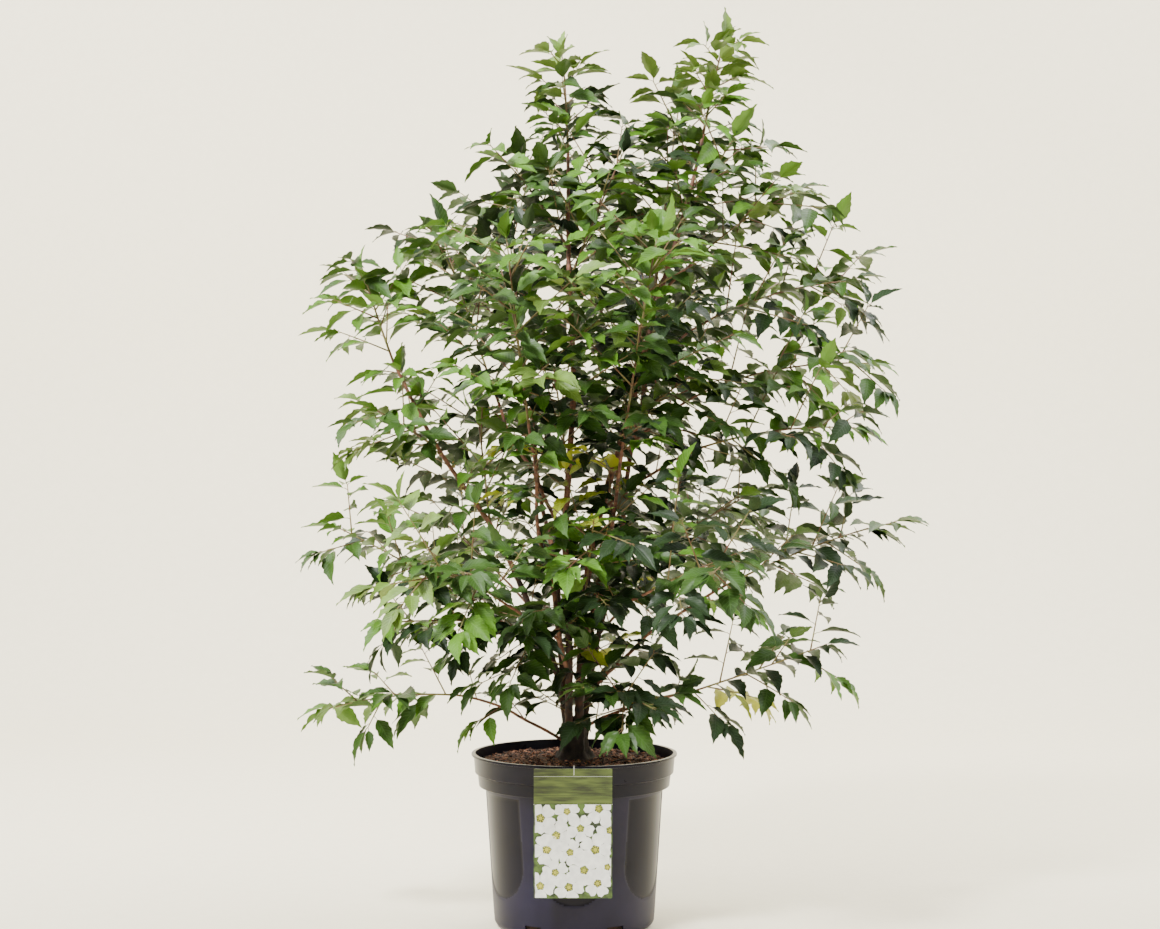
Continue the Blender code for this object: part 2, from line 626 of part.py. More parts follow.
class Shoot(Path):
    """A three-sided twig: its points, radii and the frame carried along it."""

    def __init__(self, points, base):
        last = len(points) - 1
        shrink = (TWIG_TIP_RADIUS - base) / last
        super().__init__(points, [base + shrink * i for i in range(last + 1)])
        self.length = sum((points[i + 1] - points[i]).length for i in range(last))
        heading = (points[1] - points[0]).normalized()
        turn = heading.to_track_quat("Z", "Y")
        self.frames = [turn.copy()]
        for i in range(1, last + 1):
            before = (points[i] - points[i - 1]).normalized()
            after = (points[i + 1] - points[i]).normalized() if i < last else before
            new_heading = (before + after).normalized()
            turn = heading.rotation_difference(new_heading) @ turn
            self.frames.append(turn.copy())
            heading = new_heading

    def at(self, t):
        """Place, heading and frame at a share of the shoot's length."""
        share = t * (len(self.points) - 1)
        i = min(int(share), len(self.points) - 2)
        low, high = self.points[i], self.points[i + 1]
        return low.lerp(high, share - i), (high - low).normalized(), self.frames[i]

    def body(self):
        """The twig as a closed body: a triangle extruded from point to point."""
        shape = bmesh.new()
        ring = bmesh.ops.create_circle(shape, cap_ends=True, segments=3, radius=1)["verts"]
        before = Matrix.Identity(4)
        cap = shape.faces[:][0]
        for i, (place, radius, turn) in enumerate(zip(self.points, self.radii, self.frames)):
            frame = Matrix.LocRotScale(place, turn, Vector((radius, radius, radius)))
            if i:
                made = bmesh.ops.extrude_face_region(shape, geom=[cap, *cap.edges])["geom"]
                ring = [part for part in made if isinstance(part, bmesh.types.BMVert)]
                cap = [part for part in made if isinstance(part, bmesh.types.BMFace)][0]
            bmesh.ops.transform(shape, matrix=frame @ before, verts=ring)
            before = frame.inverted()
        bmesh.ops.recalc_face_normals(shape, faces=shape.faces)
        return shape


def leaf_corners(root, axis, normal, length):
    """The six corners of a folded leaf: root edge, two shoulders, rib and tip."""
    width = LEAF_WIDTH * length / LEAF_LENGTH
    side = normal.cross(axis)
    half = LEAF_THICKNESS / 2
    shoulder = root + axis * length * LEAF_SHOULDER + normal * sin(LEAF_FOLD) * width / 2
    reach = side * cos(LEAF_FOLD) * width / 2
    rib = root + axis * length * LEAF_SHOULDER + normal * half
    return [root + normal * half, root - normal * half, shoulder + reach, shoulder - reach,
            rib, root + axis * length]


def leaf_body(corners):
    """A leaf as a closed blade of eight faces."""
    shape = bmesh.new()
    root_top, root_under, left, right, rib, tip = [shape.verts.new(c) for c in corners]
    for face in ((root_top, left, rib), (root_top, rib, right), (left, tip, rib),
                 (rib, tip, right), (root_under, tip, left), (root_under, right, tip),
                 (root_top, root_under, left), (root_top, right, root_under)):
        shape.faces.new(face)
    bmesh.ops.recalc_face_normals(shape, faces=shape.faces)
    return shape


def guard(path):
    """The bark of a limb or stem, grown by the leaves' clearance, to test against."""
    made = tube("guard", path, LEAF_CLEARANCE, 1)
    shape = bmesh.new()
    shape.from_mesh(made.data)
    drop(made)
    tree = BVHTree.FromBMesh(shape)
    shape.free()
    return tree


class Space:
    """What a mass may fill: the places nearer its own heart than any other's."""

    def __init__(self, own, hearts, guards):
        self.own = own
        self.others = [heart for heart in hearts if heart is not own]
        self.guards = guards

    def holds(self, place):
        """Whether a place lies inside, by a margin."""
        if place.z < FOLIAGE_FLOOR and place.xy.length < RIM_RADIUS + 0.01:
            return False
        for other in self.others:
            across = other - self.own
            middle = (other + self.own) / 2
            if (place - middle).dot(across) > -SPACE_MARGIN * across.length:
                return False
        return True

    def clear(self, tree):
        """Whether a twig or leaf is clear of every limb and of the other masses' stems."""
        return not any(tree.overlap(other) for other in self.guards)


def mass_start(mass, paths):
    """Where a mass's stem begins on its limb, and the heading and radius it starts with."""
    path = paths[mass.limb]
    tip = Vector(mass.tip)
    if mass.height is TIP:
        place, radius = path.points[-1], path.radii[-1]
        heading = (path.points[-1] - path.points[-2]).normalized()
        return place + heading * GAP, heading, radius
    place = path.at_height(mass.height)
    return place, (tip - place).normalized(), TWIG_BASE_RADIUS


def shoot_points(start, heading, tip, steps, lift):
    """A gently bent shoot that leaves along a heading and ends at a tip."""
    middle = start + heading * (tip - start).length * 0.5
    middle = middle.lerp((start + tip) / 2 + UP * lift, 0.5)
    shares = [i / steps for i in range(steps + 1)]
    return [start * (1 - t) ** 2 + middle * 2 * t * (1 - t) + tip * t * t for t in shares]


def leaf_frame(shoot, t, face, rng):
    """Root, axis and normal of a leaf that leaves one face of a shoot and droops."""
    place, heading, turn = shoot.at(t)
    roll = radians(30 + 120 * face)
    out = turn @ Vector((cos(roll), sin(roll), 0))
    end = t > 0.9
    angle = TIP_LEAF_ANGLE if end else LEAF_ANGLE
    axis = heading * cos(angle) + out * sin(angle)
    upright = heading.z > 0.8 and t > 0.6
    axis.z -= sin(LEAF_DROOP) * rng.uniform(0.5, 1.5) * (0.3 if upright else 1)
    axis.normalize()
    outward = Vector((place.x - CROWN_MIDDLE_X, place.y, 0)).normalized()
    normal = UP + outward * LEAF_FACING + heading * 0.1
    normal -= axis * axis.dot(normal)
    normal.normalize()
    lean = Matrix.Rotation(rng.uniform(-0.4, 0.4), 3, axis)
    return place, axis, (lean @ normal).normalized()


def grow_twigs(mass, stem, space, rng):
    """Twigs that branch from a mass's stem in a spiral, shorter towards its tip."""
    twigs = []
    if not mass.reach:
        return twigs
    turn = rng.uniform(0, 2 * pi)
    count = max(3, round(stem.length * TWIGS_PER_METRE * mass.reach / 0.12))
    for k in range(count):
        t = 0.16 + 0.66 * k / (count - 1)
        place, heading, _ = stem.at(t)
        side = heading.orthogonal().normalized()
        for attempt in range(TWIG_TRIES):
            out = Matrix.Rotation(turn + SPIRAL * k + attempt * 0.8, 3, heading) @ side
            way = heading * cos(TWIG_ANGLE) + out * sin(TWIG_ANGLE)
            reach = mass.reach * (1.1 - 0.4 * t) * (1 - 0.08 * attempt)
            end = place + (way + UP * 0.10) * reach
            if not space.holds(place) or not space.holds(end):
                continue
            twig = Shoot([place, end], TWIG_BASE_RADIUS * 0.85)
            body = twig.body()
            clear = space.clear(BVHTree.FromBMesh(body))
            body.free()
            if clear:
                twigs.append(twig)
                break
    return twigs


def leaf_spots(shoots):
    """Alternate places for leaves along the shoots, a last one near the tip of each."""
    spots = []
    for number, shoot in enumerate(shoots):
        low = min(0.35, 0.035 / shoot.length) if number else 0.22
        high = 1 - TIP_LEAF_SETBACK / shoot.length
        wanted = max(2, 1 + round(shoot.length * (high - low) / LEAF_PITCH))
        for k in range(wanted):
            spots.append((shoot, low + (high - low) * k / (wanted - 1), k))
    return spots


def mass_stem(mass, paths):
    """The stem of a mass, from just clear of its limb to its tip."""
    start, heading, radius = mass_start(mass, paths)
    tip = Vector(mass.tip)
    steps = max(2, round((tip - start).length / 0.06))
    return Shoot(shoot_points(start, heading, tip, steps, 0.010), radius)


def stem_body(mass, stem, paths):
    """A mass's own stem as a bmesh, trimmed clear of the bark where it leaves a limb's side."""
    body = stem.body()
    if mass.height is TIP:
        return body
    blank = add_bmesh("stem", body, None, TOOLS)
    cutter = tube("carrier", paths[mass.limb], GAP, roundness(mass.limb))
    mesh = boolean(blank, "DIFFERENCE", cutter)
    drop(blank)
    drop(cutter)
    if not largest_body(mesh):
        raise ValueError("the stem of %s is not closed" % mass.name)
    body = bmesh.new()
    body.from_mesh(mesh)
    bpy.data.meshes.remove(mesh)
    return body


def grow_mass(mass, stem, trunk, space, rng):
    """One mass: its stem, twigs that branch from it in a spiral, and the leaves along them."""
    shoots = [stem] + grow_twigs(mass, stem, space, rng)
    bodies = [trunk] + [shoot.body() for shoot in shoots[1:]]
    trees = [BVHTree.FromBMesh(body) for body in bodies]
    for shoot, t, face in leaf_spots(shoots):
        carrier = shoots.index(shoot)
        for attempt in range(LEAF_TRIES):
            place, axis, normal = leaf_frame(shoot, t, face + attempt, rng)
            size = LEAF_LENGTH * rng.uniform(0.88, 1.08) * (1 - 0.03 * attempt)
            corners = leaf_corners(place, axis, normal, size)
            if not all(space.holds(corner) for corner in corners):
                continue
            body = leaf_body(corners)
            tree = BVHTree.FromBMesh(body)
            crossing = any(tree.overlap(other) for i, other in enumerate(trees) if i != carrier)
            if crossing or not space.clear(tree):
                body.free()
                continue
            trees.append(tree)
            bodies.append(body)
            break
    return bodies


def make_masses(paths):
    """Every mass of leaves, each joined to one body."""
    finish = material("leaf_green", (0.075, 0.19, 0.045), 0.45)
    stems = [mass_stem(mass, paths) for mass in MASSES]
    hearts = [stem.points[0].lerp(stem.points[-1], HEART) for stem in stems]
    limb_guards = {name: guard(path) for name, path in paths.items()}
    stem_guards = [guard(stem) for stem in stems]
    for number, mass in enumerate(MASSES):
        others = [tree for i, tree in enumerate(stem_guards) if i != number]
        trunk = stem_body(mass, stems[number], paths)
        check_stem(mass, trunk, limb_guards, others)
        space = Space(hearts[number], hearts, [*limb_guards.values(), *others])
        bodies = grow_mass(mass, stems[number], trunk, space, Random(500 + number))
        mesh = join_bodies(mass.name, bodies)
        add_object(mass.name, mesh, finish)


def check_stem(mass, trunk, limb_guards, others):
    """Stop where a mass's own stem touches another limb or another mass's stem."""
    tree = BVHTree.FromBMesh(trunk)
    for name, limb in limb_guards.items():
        if name != mass.limb and tree.overlap(limb):
            raise ValueError("the stem of %s touches %s" % (mass.name, name))
    if any(tree.overlap(other) for other in others):
        raise ValueError("the stem of %s touches another stem" % mass.name)


def join_bodies(name, bodies):
    """Fuse a stem, its twigs and its leaves by one Boolean union on a collection.

    A mass that doesn't fuse to one closed body by either solver gives up its last leaves.
    """
    group = bpy.data.collections.new(name + "_bodies")
    bpy.context.scene.collection.children.link(group)
    stem = add_bmesh("stem", bodies[0], None, TOOLS)
    pieces = [add_bmesh("body", body, None, group) for body in bodies[1:]]
    while True:
        mesh = boolean(stem, "UNION", group)
        if largest_body(mesh):
            break
        mesh = boolean(stem, "UNION", group, "MANIFOLD")
        if largest_body(mesh):
            break
        drop(pieces.pop())
    drop(stem)
    for obj in list(group.objects):
        drop(obj)
    bpy.data.collections.remove(group)
    return mesh


def main():
    """Clear the scene and make every part."""
    global PARTS, TOOLS
    for obj in list(bpy.data.objects):
        bpy.data.objects.remove(obj)
    PARTS = bpy.data.collections.new(OBJECT_NAME)
    TOOLS = bpy.data.collections.new("cutters")
    bpy.context.scene.collection.children.link(PARTS)
    bpy.context.scene.collection.children.link(TOOLS)
    make_pot()
    make_mix()
    make_label()
    make_crown()
    paths = make_limbs()
    make_masses(paths)


main()
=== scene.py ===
"""Looks of a potted flowering cherry shrub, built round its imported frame.

Metres, +Z up, front towards -Y. The stems, boughs and masses follow the same sizes and rules
as the solids, and are carried on here to finer twigs and to leaves of life size.
"""

from collections import namedtuple
from math import atan2, cos, pi, radians, sin, tau
from random import Random

import bmesh
import bpy
import numpy as np
from bpy.props import FloatProperty, FloatVectorProperty, PointerProperty
from mathutils import Matrix, Vector, noise


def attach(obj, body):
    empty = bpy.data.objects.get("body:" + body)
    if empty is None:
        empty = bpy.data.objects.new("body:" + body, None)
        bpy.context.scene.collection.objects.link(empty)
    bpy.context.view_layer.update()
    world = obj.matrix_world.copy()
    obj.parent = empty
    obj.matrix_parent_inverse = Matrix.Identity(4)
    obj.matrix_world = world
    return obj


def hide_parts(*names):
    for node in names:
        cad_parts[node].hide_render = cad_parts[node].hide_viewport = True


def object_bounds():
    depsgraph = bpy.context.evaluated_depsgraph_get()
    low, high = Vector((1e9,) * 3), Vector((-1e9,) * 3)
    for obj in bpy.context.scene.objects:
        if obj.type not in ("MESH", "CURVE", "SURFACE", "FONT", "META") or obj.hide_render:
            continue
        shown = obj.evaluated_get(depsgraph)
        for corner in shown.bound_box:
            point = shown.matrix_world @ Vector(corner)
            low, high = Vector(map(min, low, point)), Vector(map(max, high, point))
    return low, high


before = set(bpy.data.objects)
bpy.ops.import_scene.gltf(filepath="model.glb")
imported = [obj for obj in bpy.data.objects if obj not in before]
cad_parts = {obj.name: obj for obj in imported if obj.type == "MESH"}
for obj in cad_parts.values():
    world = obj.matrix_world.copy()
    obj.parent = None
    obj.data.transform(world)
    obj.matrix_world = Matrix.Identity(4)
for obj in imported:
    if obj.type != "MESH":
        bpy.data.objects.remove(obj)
CAD_BOX = [list(corner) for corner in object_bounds()]

bl_info = {
    "name": "Potted cherry shrub",
    "version": (1, 0, 0),
    "blender": (4, 5, 0),
    "location": "View3D > Sidebar > Cherry",
    "description": "Builds the visible pieces of a potted flowering cherry shrub",
    "category": "Add Mesh",
}

UP = Vector((0, 0, 1))
GOLDEN_TURN = radians(137.5)
GAP = 0.0003  # between solids that meet
TIP = None  # for a mass that ends its limb
CROWN = "root_crown"
BOX_SLACK = 0.012  # what a leaf may stand proud of the solids' box
CROWN_X = 0.05  # where the leaf crown has its middle
CROWN_REACH = 0.36
BARE_FOOT = 0.325  # height below which limbs carry no leaves
BARK_TURN = 0.56  # height at which the stems change to young bark
LIMB_PULL = 0.36  # how far a limb holds its first and last pitch, as a share of its chord
LIMB_STEP = 0.085
BUD_STEP = 0.034  # between swellings of the bark
LIMB_SIDES = 14
BARK_FINE, TWIG_FINE = 26, 4  # steps for each one that the solids take, for bark and for twigs
BARK_RELIEF = 0.13
MASS_STEPS = 10
TWIG_ANGLE = radians(58)
TWIG_RADII, SPUR_RADII = (0.0015, 0.0008), (0.0012, 0.0008)
LEAF_CLEAR, SPUR_CLEAR, TWIG_CLEAR = 0.002, 0.004, 0.006  # from the bark of the limbs
STALK = 0.17  # share of a leaf's length
LEAF_SHAPES = 6
VEIN_SLANT, VEIN_WAVES = 0.42, 62.0
RIB_EDGES = (0.055, 0.012)
PETAL_OUTLINE = ((0.25, 0.30), (0.55, 0.62), (0.80, 0.66), (0.97, 0.40), (0.90, 0.0),
                 (0.97, -0.40), (0.80, -0.66), (0.55, -0.62), (0.25, -0.30))

# Limbs as in the solids: carrier, height on it, tip, pitches at both ends, diameters, sway
Limb = namedtuple("Limb", "name carrier height tip leave arrive base_d tip_d sway",
                  defaults=(0.0036, 0.0))
LIMBS = tuple(Limb(*row) for row in (
    ("stem_left_leader", CROWN, 0.298, (-0.01, -0.018, 1.235), 76, 93, 0.013, 0.005, 0.01),
    ("stem_right_leader", CROWN, 0.3, (0.208, 0.018, 1.27), 92, 78, 0.0145, 0.005),
    ("stem_left", CROWN, 0.3, (-0.292, 0.0, 0.905), 86, 66, 0.0115, 0.0044, -0.012),
    ("stem_middle", CROWN, 0.3, (0.13, 0.055, 1.0), 80, 84, 0.0105, 0.0046),
    ("stem_back_left", CROWN, 0.3, (-0.08, 0.155, 0.88), 80, 74, 0.0105, 0.0046),
    ("stem_back_right", CROWN, 0.3, (0.1, 0.175, 0.86), 78, 72, 0.0105, 0.0046),
    ("stem_front_left", "stem_left_leader", 0.4, (-0.07, -0.145, 0.8), 62, 76, 0.008, 0.0042),
    ("stem_front_right", "stem_right_leader", 0.43, (0.08, -0.135, 0.8), 60, 76, 0.008, 0.0042),
    ("stem_upper_left", "stem_left_leader", 0.62, (-0.135, 0.02, 0.87), 60, 70, 0.0068, 0.004),
    ("bough_foot_left", CROWN, 0.29, (-0.185, -0.018, 0.368), 28, 8, 0.0052),
    ("bough_foot_right", CROWN, 0.312, (0.19, -0.03, 0.376), 30, 12, 0.0058),
    ("bough_low_left", "stem_left", 0.452, (-0.18, -0.012, 0.526), 16, 30, 0.0058, 0.0038),
    ("bough_low_right", "stem_middle", 0.365, (0.25, 0.012, 0.545), 50, 28, 0.0066, 0.004),
    ("bough_low_front_left", "stem_front_left", 0.455, (-0.115, -0.155, 0.53), 40, 30, 0.0052),
    ("bough_low_front_right", "stem_front_right", 0.49, (0.12, -0.16, 0.545), 30, 26, 0.0052),
    ("bough_low_back_left", "stem_back_left", 0.43, (-0.12, 0.165, 0.545), 40, 26, 0.0056),
    ("bough_low_back_right", "stem_back_right", 0.43, (0.13, 0.18, 0.545), 40, 26, 0.0056),
    ("bough_right_under", "stem_right_leader", 0.665, (0.205, -0.045, 0.765), 38, 22, 0.0052),
    ("bough_right_lower", "stem_right_leader", 0.745, (0.225, 0.004, 0.862), 44, 26, 0.0054),
    ("bough_right_middle", "stem_right_leader", 0.88, (0.225, 0.03, 0.975), 48, 30, 0.005),
    ("bough_right_upper", "stem_right_leader", 1.0, (0.215, 0.018, 1.085), 58, 44, 0.0046),
))
# Where the limbs stand on the root crown
FEET = {
    "stem_left_leader": (-0.0085, -0.0105),
    "stem_right_leader": (0.0080, -0.0080),
    "stem_left": (-0.0125, 0.0025),
    "stem_middle": (0.0125, 0.0055),
    "stem_back_left": (-0.0065, 0.0125),
    "stem_back_right": (0.0050, 0.0140),
    "bough_foot_left": (-0.0100, -0.0040),
    "bough_foot_right": (0.0100, -0.0060),
}
# Masses of leaves as in the solids: limb, height on it, tip, reach of the twigs
Mass = namedtuple("Mass", "name limb height tip reach")
MASSES = tuple(Mass(*row) for row in (
    ("leaves_left_top", "stem_left_leader", TIP, (-0.018, -0.018, 1.385), 0.045),
    ("leaves_right_top", "stem_right_leader", TIP, (0.24, 0.018, 1.415), 0.04),
    ("leaves_left_shoulder", "stem_left", TIP, (-0.335, 0.0, 1.035), 0.085),
    ("leaves_upper_left", "stem_upper_left", TIP, (-0.215, 0.045, 1.11), 0.12),
    ("leaves_middle_top", "stem_middle", TIP, (0.172, 0.085, 1.325), 0.12),
    ("leaves_back_left_top", "stem_back_left", TIP, (-0.12, 0.24, 1.2), 0.13),
    ("leaves_back_right_top", "stem_back_right", TIP, (0.16, 0.27, 1.16), 0.14),
    ("leaves_front_left_top", "stem_front_left", TIP, (-0.1, -0.225, 1.07), 0.13),
    ("leaves_front_right_top", "stem_front_right", TIP, (0.125, -0.22, 1.08), 0.14),
    ("leaves_low_left", "bough_low_left", TIP, (-0.375, -0.02, 0.635), 0.09),
    ("leaves_foot_left", "bough_foot_left", TIP, (-0.385, -0.03, 0.35), 0.065),
    ("leaves_low_right", "bough_low_right", TIP, (0.475, 0.02, 0.634), 0.11),
    ("leaves_foot_right", "bough_foot_right", TIP, (0.395, -0.045, 0.45), 0.09),
    ("leaves_low_front_left", "bough_low_front_left", TIP, (-0.215, -0.3, 0.59), 0.12),
    ("leaves_low_front_right", "bough_low_front_right", TIP, (0.235, -0.3, 0.595), 0.12),
    ("leaves_low_back_left", "bough_low_back_left", TIP, (-0.24, 0.31, 0.645), 0.13),
    ("leaves_low_back_right", "bough_low_back_right", TIP, (0.265, 0.325, 0.65), 0.13),
    ("leaves_right_under", "bough_right_under", TIP, (0.435, -0.085, 0.795), 0.1),
    ("leaves_right_lower", "bough_right_lower", TIP, (0.475, 0.01, 0.9), 0.11),
    ("leaves_right_middle", "bough_right_middle", TIP, (0.455, 0.05, 1.04), 0.12),
    ("leaves_right_upper", "bough_right_upper", TIP, (0.35, 0.035, 1.175), 0.12),
    ("leaves_left_high", "stem_left_leader", 1.08, (-0.095, 0.02, 1.215), 0.11),
    ("leaves_centre_high", "stem_left_leader", 1.03, (0.075, -0.055, 1.225), 0.13),
    ("leaves_right_high", "stem_right_leader", 1.12, (0.25, -0.03, 1.25), 0.11),
    ("leaves_centre_front", "stem_left_leader", 0.72, (-0.03, -0.17, 0.88), 0.15),
    ("leaves_centre_back", "stem_middle", 0.74, (0.05, 0.19, 0.87), 0.15),
    ("leaves_centre_right", "stem_right_leader", 0.8, (0.19, -0.11, 0.88), 0.14),
    ("leaves_left_middle", "stem_left", 0.76, (-0.31, -0.02, 0.82), 0.11),
    ("leaves_left_inner", "stem_left", 0.64, (-0.16, 0.1, 0.82), 0.14),
    ("leaves_left_under", "bough_low_left", 0.485, (-0.29, -0.09, 0.49), 0.07),
    ("leaves_right_inner", "stem_middle", 0.56, (0.29, 0.06, 0.69), 0.09),
    ("leaves_front_low", "stem_right_leader", 0.5, (0.03, -0.185, 0.65), 0.145),
    ("leaves_foot_front", "bough_foot_right", 0.345, (0.075, -0.12, 0.385), 0.09),
    ("leaves_left_low_inner", "stem_left", 0.425, (-0.105, -0.095, 0.48), 0.12),
))

# Pot sizes as in the solids; a band is its radius and its lower edge
POT_HEIGHT = 0.275
RIM_RADIUS = 0.165
UPPER_BAND = (0.1615, 0.244)
LOWER_BAND = (0.1552, 0.223)
BAND_DRAFT = 0.0022
BAND_EDGE = 0.0006
WALL_TOP_RADIUS = 0.1425
BASE_RADIUS = 0.1278
FOOT_ROUND = 0.012
WALL = 0.0026
POT_SIDES = 360
PANELS = 6
PANEL_TOP, PANEL_BOTTOM, PANEL_FOOT = 0.216, 0.054, 0.110
PANEL_HALF = 0.056
PANEL_DEPTH = 0.0011
PANEL_EDGE = 0.003
MIX_RADIUS = 0.1510
MIX_EDGE, MIX_TOP = 0.2585, 0.2640
CHIP_RADIUS = 0.0056
LABEL = (0.120, 0.198)
LABEL_TOP = 0.2725
LABEL_X = -0.0015
LABEL_HEAD = 0.054
CARD_THICK = 0.0011

# Leaf tints: deep, mid and bright are painted shade and light; young and yellow are the leaves'
# own colours, young partly a painted highlight too.
TINTS = ("deep", "mid", "bright", "young", "yellow")

# The camera stands level in front of the pot
LENS, SENSOR = 64.3, 36
EYE = (0.0092, -3.33, 0.737)


class LeafSettings(bpy.types.PropertyGroup):
    """Sizes and colours of the leaves."""
    length: FloatProperty(name="Length", description="Length of a grown leaf",
                          default=0.068, unit="LENGTH")
    width: FloatProperty(name="Width", description="Width of a grown leaf",
                         default=0.031, unit="LENGTH")
    pitch: FloatProperty(name="Pitch", description="Distance between leaves on a twig",
                         default=0.0155, unit="LENGTH")
    # Shade green, green and bright green are painted shade and light on the leaves, dealt out by
    # pick_tint.
    deep: FloatVectorProperty(name="Shade green", description="Leaves inside the crown",
                              default=(0.012, 0.032, 0.006), subtype="COLOR")
    mid: FloatVectorProperty(name="Green", description="Most of the leaves",
                             default=(0.034, 0.086, 0.008), subtype="COLOR")
    bright: FloatVectorProperty(name="Bright green", description="Leaves in full light",
                                default=(0.078, 0.190, 0.012), subtype="COLOR")
    young: FloatVectorProperty(name="Young green", description="Leaves at the shoot tips",
                               default=(0.135, 0.230, 0.034), subtype="COLOR")
    yellow: FloatVectorProperty(name="Yellow", description="A few ageing leaves",
                                default=(0.330, 0.390, 0.022), subtype="COLOR")


class WoodSettings(bpy.types.PropertyGroup):
    """Colours of the bark and the potting mix."""
    young: FloatVectorProperty(name="Young bark", description="Bark of the upper stems",
                               default=(0.190, 0.080, 0.045), subtype="COLOR")
    old: FloatVectorProperty(name="Old bark", description="Bark at the foot",
                             default=(0.034, 0.024, 0.019), subtype="COLOR")
    chips: FloatVectorProperty(name="Bark chips", description="Chips on the potting mix",
                               default=(0.200, 0.088, 0.050), subtype="COLOR")
    density: FloatProperty(name="Chip density", description="Chips on a square metre",
                           default=34000.0)


class PotSettings(bpy.types.PropertyGroup):
    """Colours of the pot and its label."""
    plastic: FloatVectorProperty(name="Pot", description="Navy-black plastic",
                                 default=(0.0045, 0.0038, 0.0105), subtype="COLOR")
    header: FloatVectorProperty(name="Header", description="Planked head of the label",
                                default=(0.040, 0.058, 0.010), subtype="COLOR")
    petals: FloatVectorProperty(name="Petals", description="Blossoms on the label",
                                default=(0.86, 0.87, 0.84), subtype="COLOR")


def link(obj):
    """Put an object in the scene."""
    bpy.context.scene.collection.objects.link(obj)
    return obj


def ride(obj, slot, *nodes):
    """Tie a finished piece to the only body and hide the nodes it replaces; the slot is not used.
    """
    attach(obj, "root")
    if nodes:
        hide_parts(*nodes)


class Pile:
    """Vertices, faces and leaf coordinates gathered for one joined mesh."""

    def __init__(self):
        self.verts = []
        self.faces = []
        self.uvs = []
        self.count = 0

    def add(self, verts, faces, uvs=None):
        """Add a shape."""
        self.verts.append(np.asarray(verts, float))
        self.faces.extend(tuple(i + self.count for i in face) for face in faces)
        self.uvs.append(np.zeros((len(verts), 2)) if uvs is None else uvs)
        self.count += len(verts)

    def build(self, name, look):
        """The gathered shapes as one smooth object."""
        mesh = bpy.data.meshes.new(name)
        mesh.from_pydata(np.concatenate(self.verts).tolist(), [], self.faces)
        layer = mesh.uv_layers.new(name="UVMap")
        corners = np.empty(len(mesh.loops), int)
        mesh.loops.foreach_get("vertex_index", corners)
        layer.data.foreach_set("uv", np.concatenate(self.uvs)[corners].ravel())
        mesh.materials.append(look)
        mesh.shade_smooth()
        return link(bpy.data.objects.new(name, mesh))


def ring_faces(rings, sides, inward=False):
    """Faces between rings of points that follow one another."""
    faces = []
    for i in range(rings - 1):
        for k in range(sides):
            a, b = i * sides + k, i * sides + (k + 1) % sides
            faces.append((b, a, a + sides, b + sides) if inward else (a, b, b + sides, a + sides))
    return faces


def last_ring(rings, sides):
    """The face that closes the last ring."""
    return tuple(range((rings - 1) * sides, rings * sides))


def capped_faces(rings, sides):
    """Faces between rings, closed at both ends."""
    return ring_faces(rings, sides) + [tuple(range(sides))[::-1], last_ring(rings, sides)]


def fan(count):
    """Triangles from a rim of points to the middle one that follows them."""
    return [(i, (i + 1) % count, count) for i in range(count)]


def clean(mesh):
    """Merge doubles and turn all faces outwards."""
    shape = bmesh.new()
    shape.from_mesh(mesh)
    bmesh.ops.remove_doubles(shape, verts=shape.verts, dist=0.00001)
    bmesh.ops.recalc_face_normals(shape, faces=shape.faces)
    shape.to_mesh(mesh)
    shape.free()


def flatten(obj):
    """Turn an object's modifiers to a plain mesh."""
    bpy.context.view_layer.update()
    mesh = bpy.data.meshes.new_from_object(
        obj.evaluated_get(bpy.context.evaluated_depsgraph_get()))
    obj.modifiers.clear()
    obj.data = mesh


# Materials

def fill(tree, made, values):
    """Give a node's inputs plain values, or link them from the outputs given."""
    for socket, value in values.items():
        if isinstance(value, bpy.types.NodeSocket):
            tree.links.new(value, made.inputs[socket])
        else:
            made.inputs[socket].default_value = value


def node(tree, kind, values=(), **settings):
    """Add a node with its settings and inputs, and hand on its outputs."""
    made = tree.nodes.new(kind)
    for key, value in settings.items():
        setattr(made, key, value)
    fill(tree, made, dict(values))
    return made.outputs


def maths(tree, operation, *values):
    """The outcome of a sum in a shader."""
    return node(tree, "ShaderNodeMath", dict(enumerate(values)), operation=operation)[0]


def soft_step(tree, value, low, high):
    """A smooth step from nought to one as a value runs between two ends."""
    return node(tree, "ShaderNodeMapRange", {"Value": value, "From Min": low, "From Max": high},
                interpolation_type="SMOOTHSTEP")[0]


def mixed(tree, share, first, second):
    """A colour between a linked one and a plain one."""
    return node(tree, "ShaderNodeMix", {0: share, 6: first, 7: (*second, 1)},
                data_type="RGBA")[2]


def tones(tree, mask, ends, dark, light):
    """A colour that runs between two tones along a mask."""
    made = tree.nodes.new("ShaderNodeValToRGB")
    for element, position, colour in zip(made.color_ramp.elements, ends, (dark, light)):
        element.position = position
        element.color = (*colour, 1)
    fill(tree, made, {"Fac": mask})
    return made.outputs["Color"]


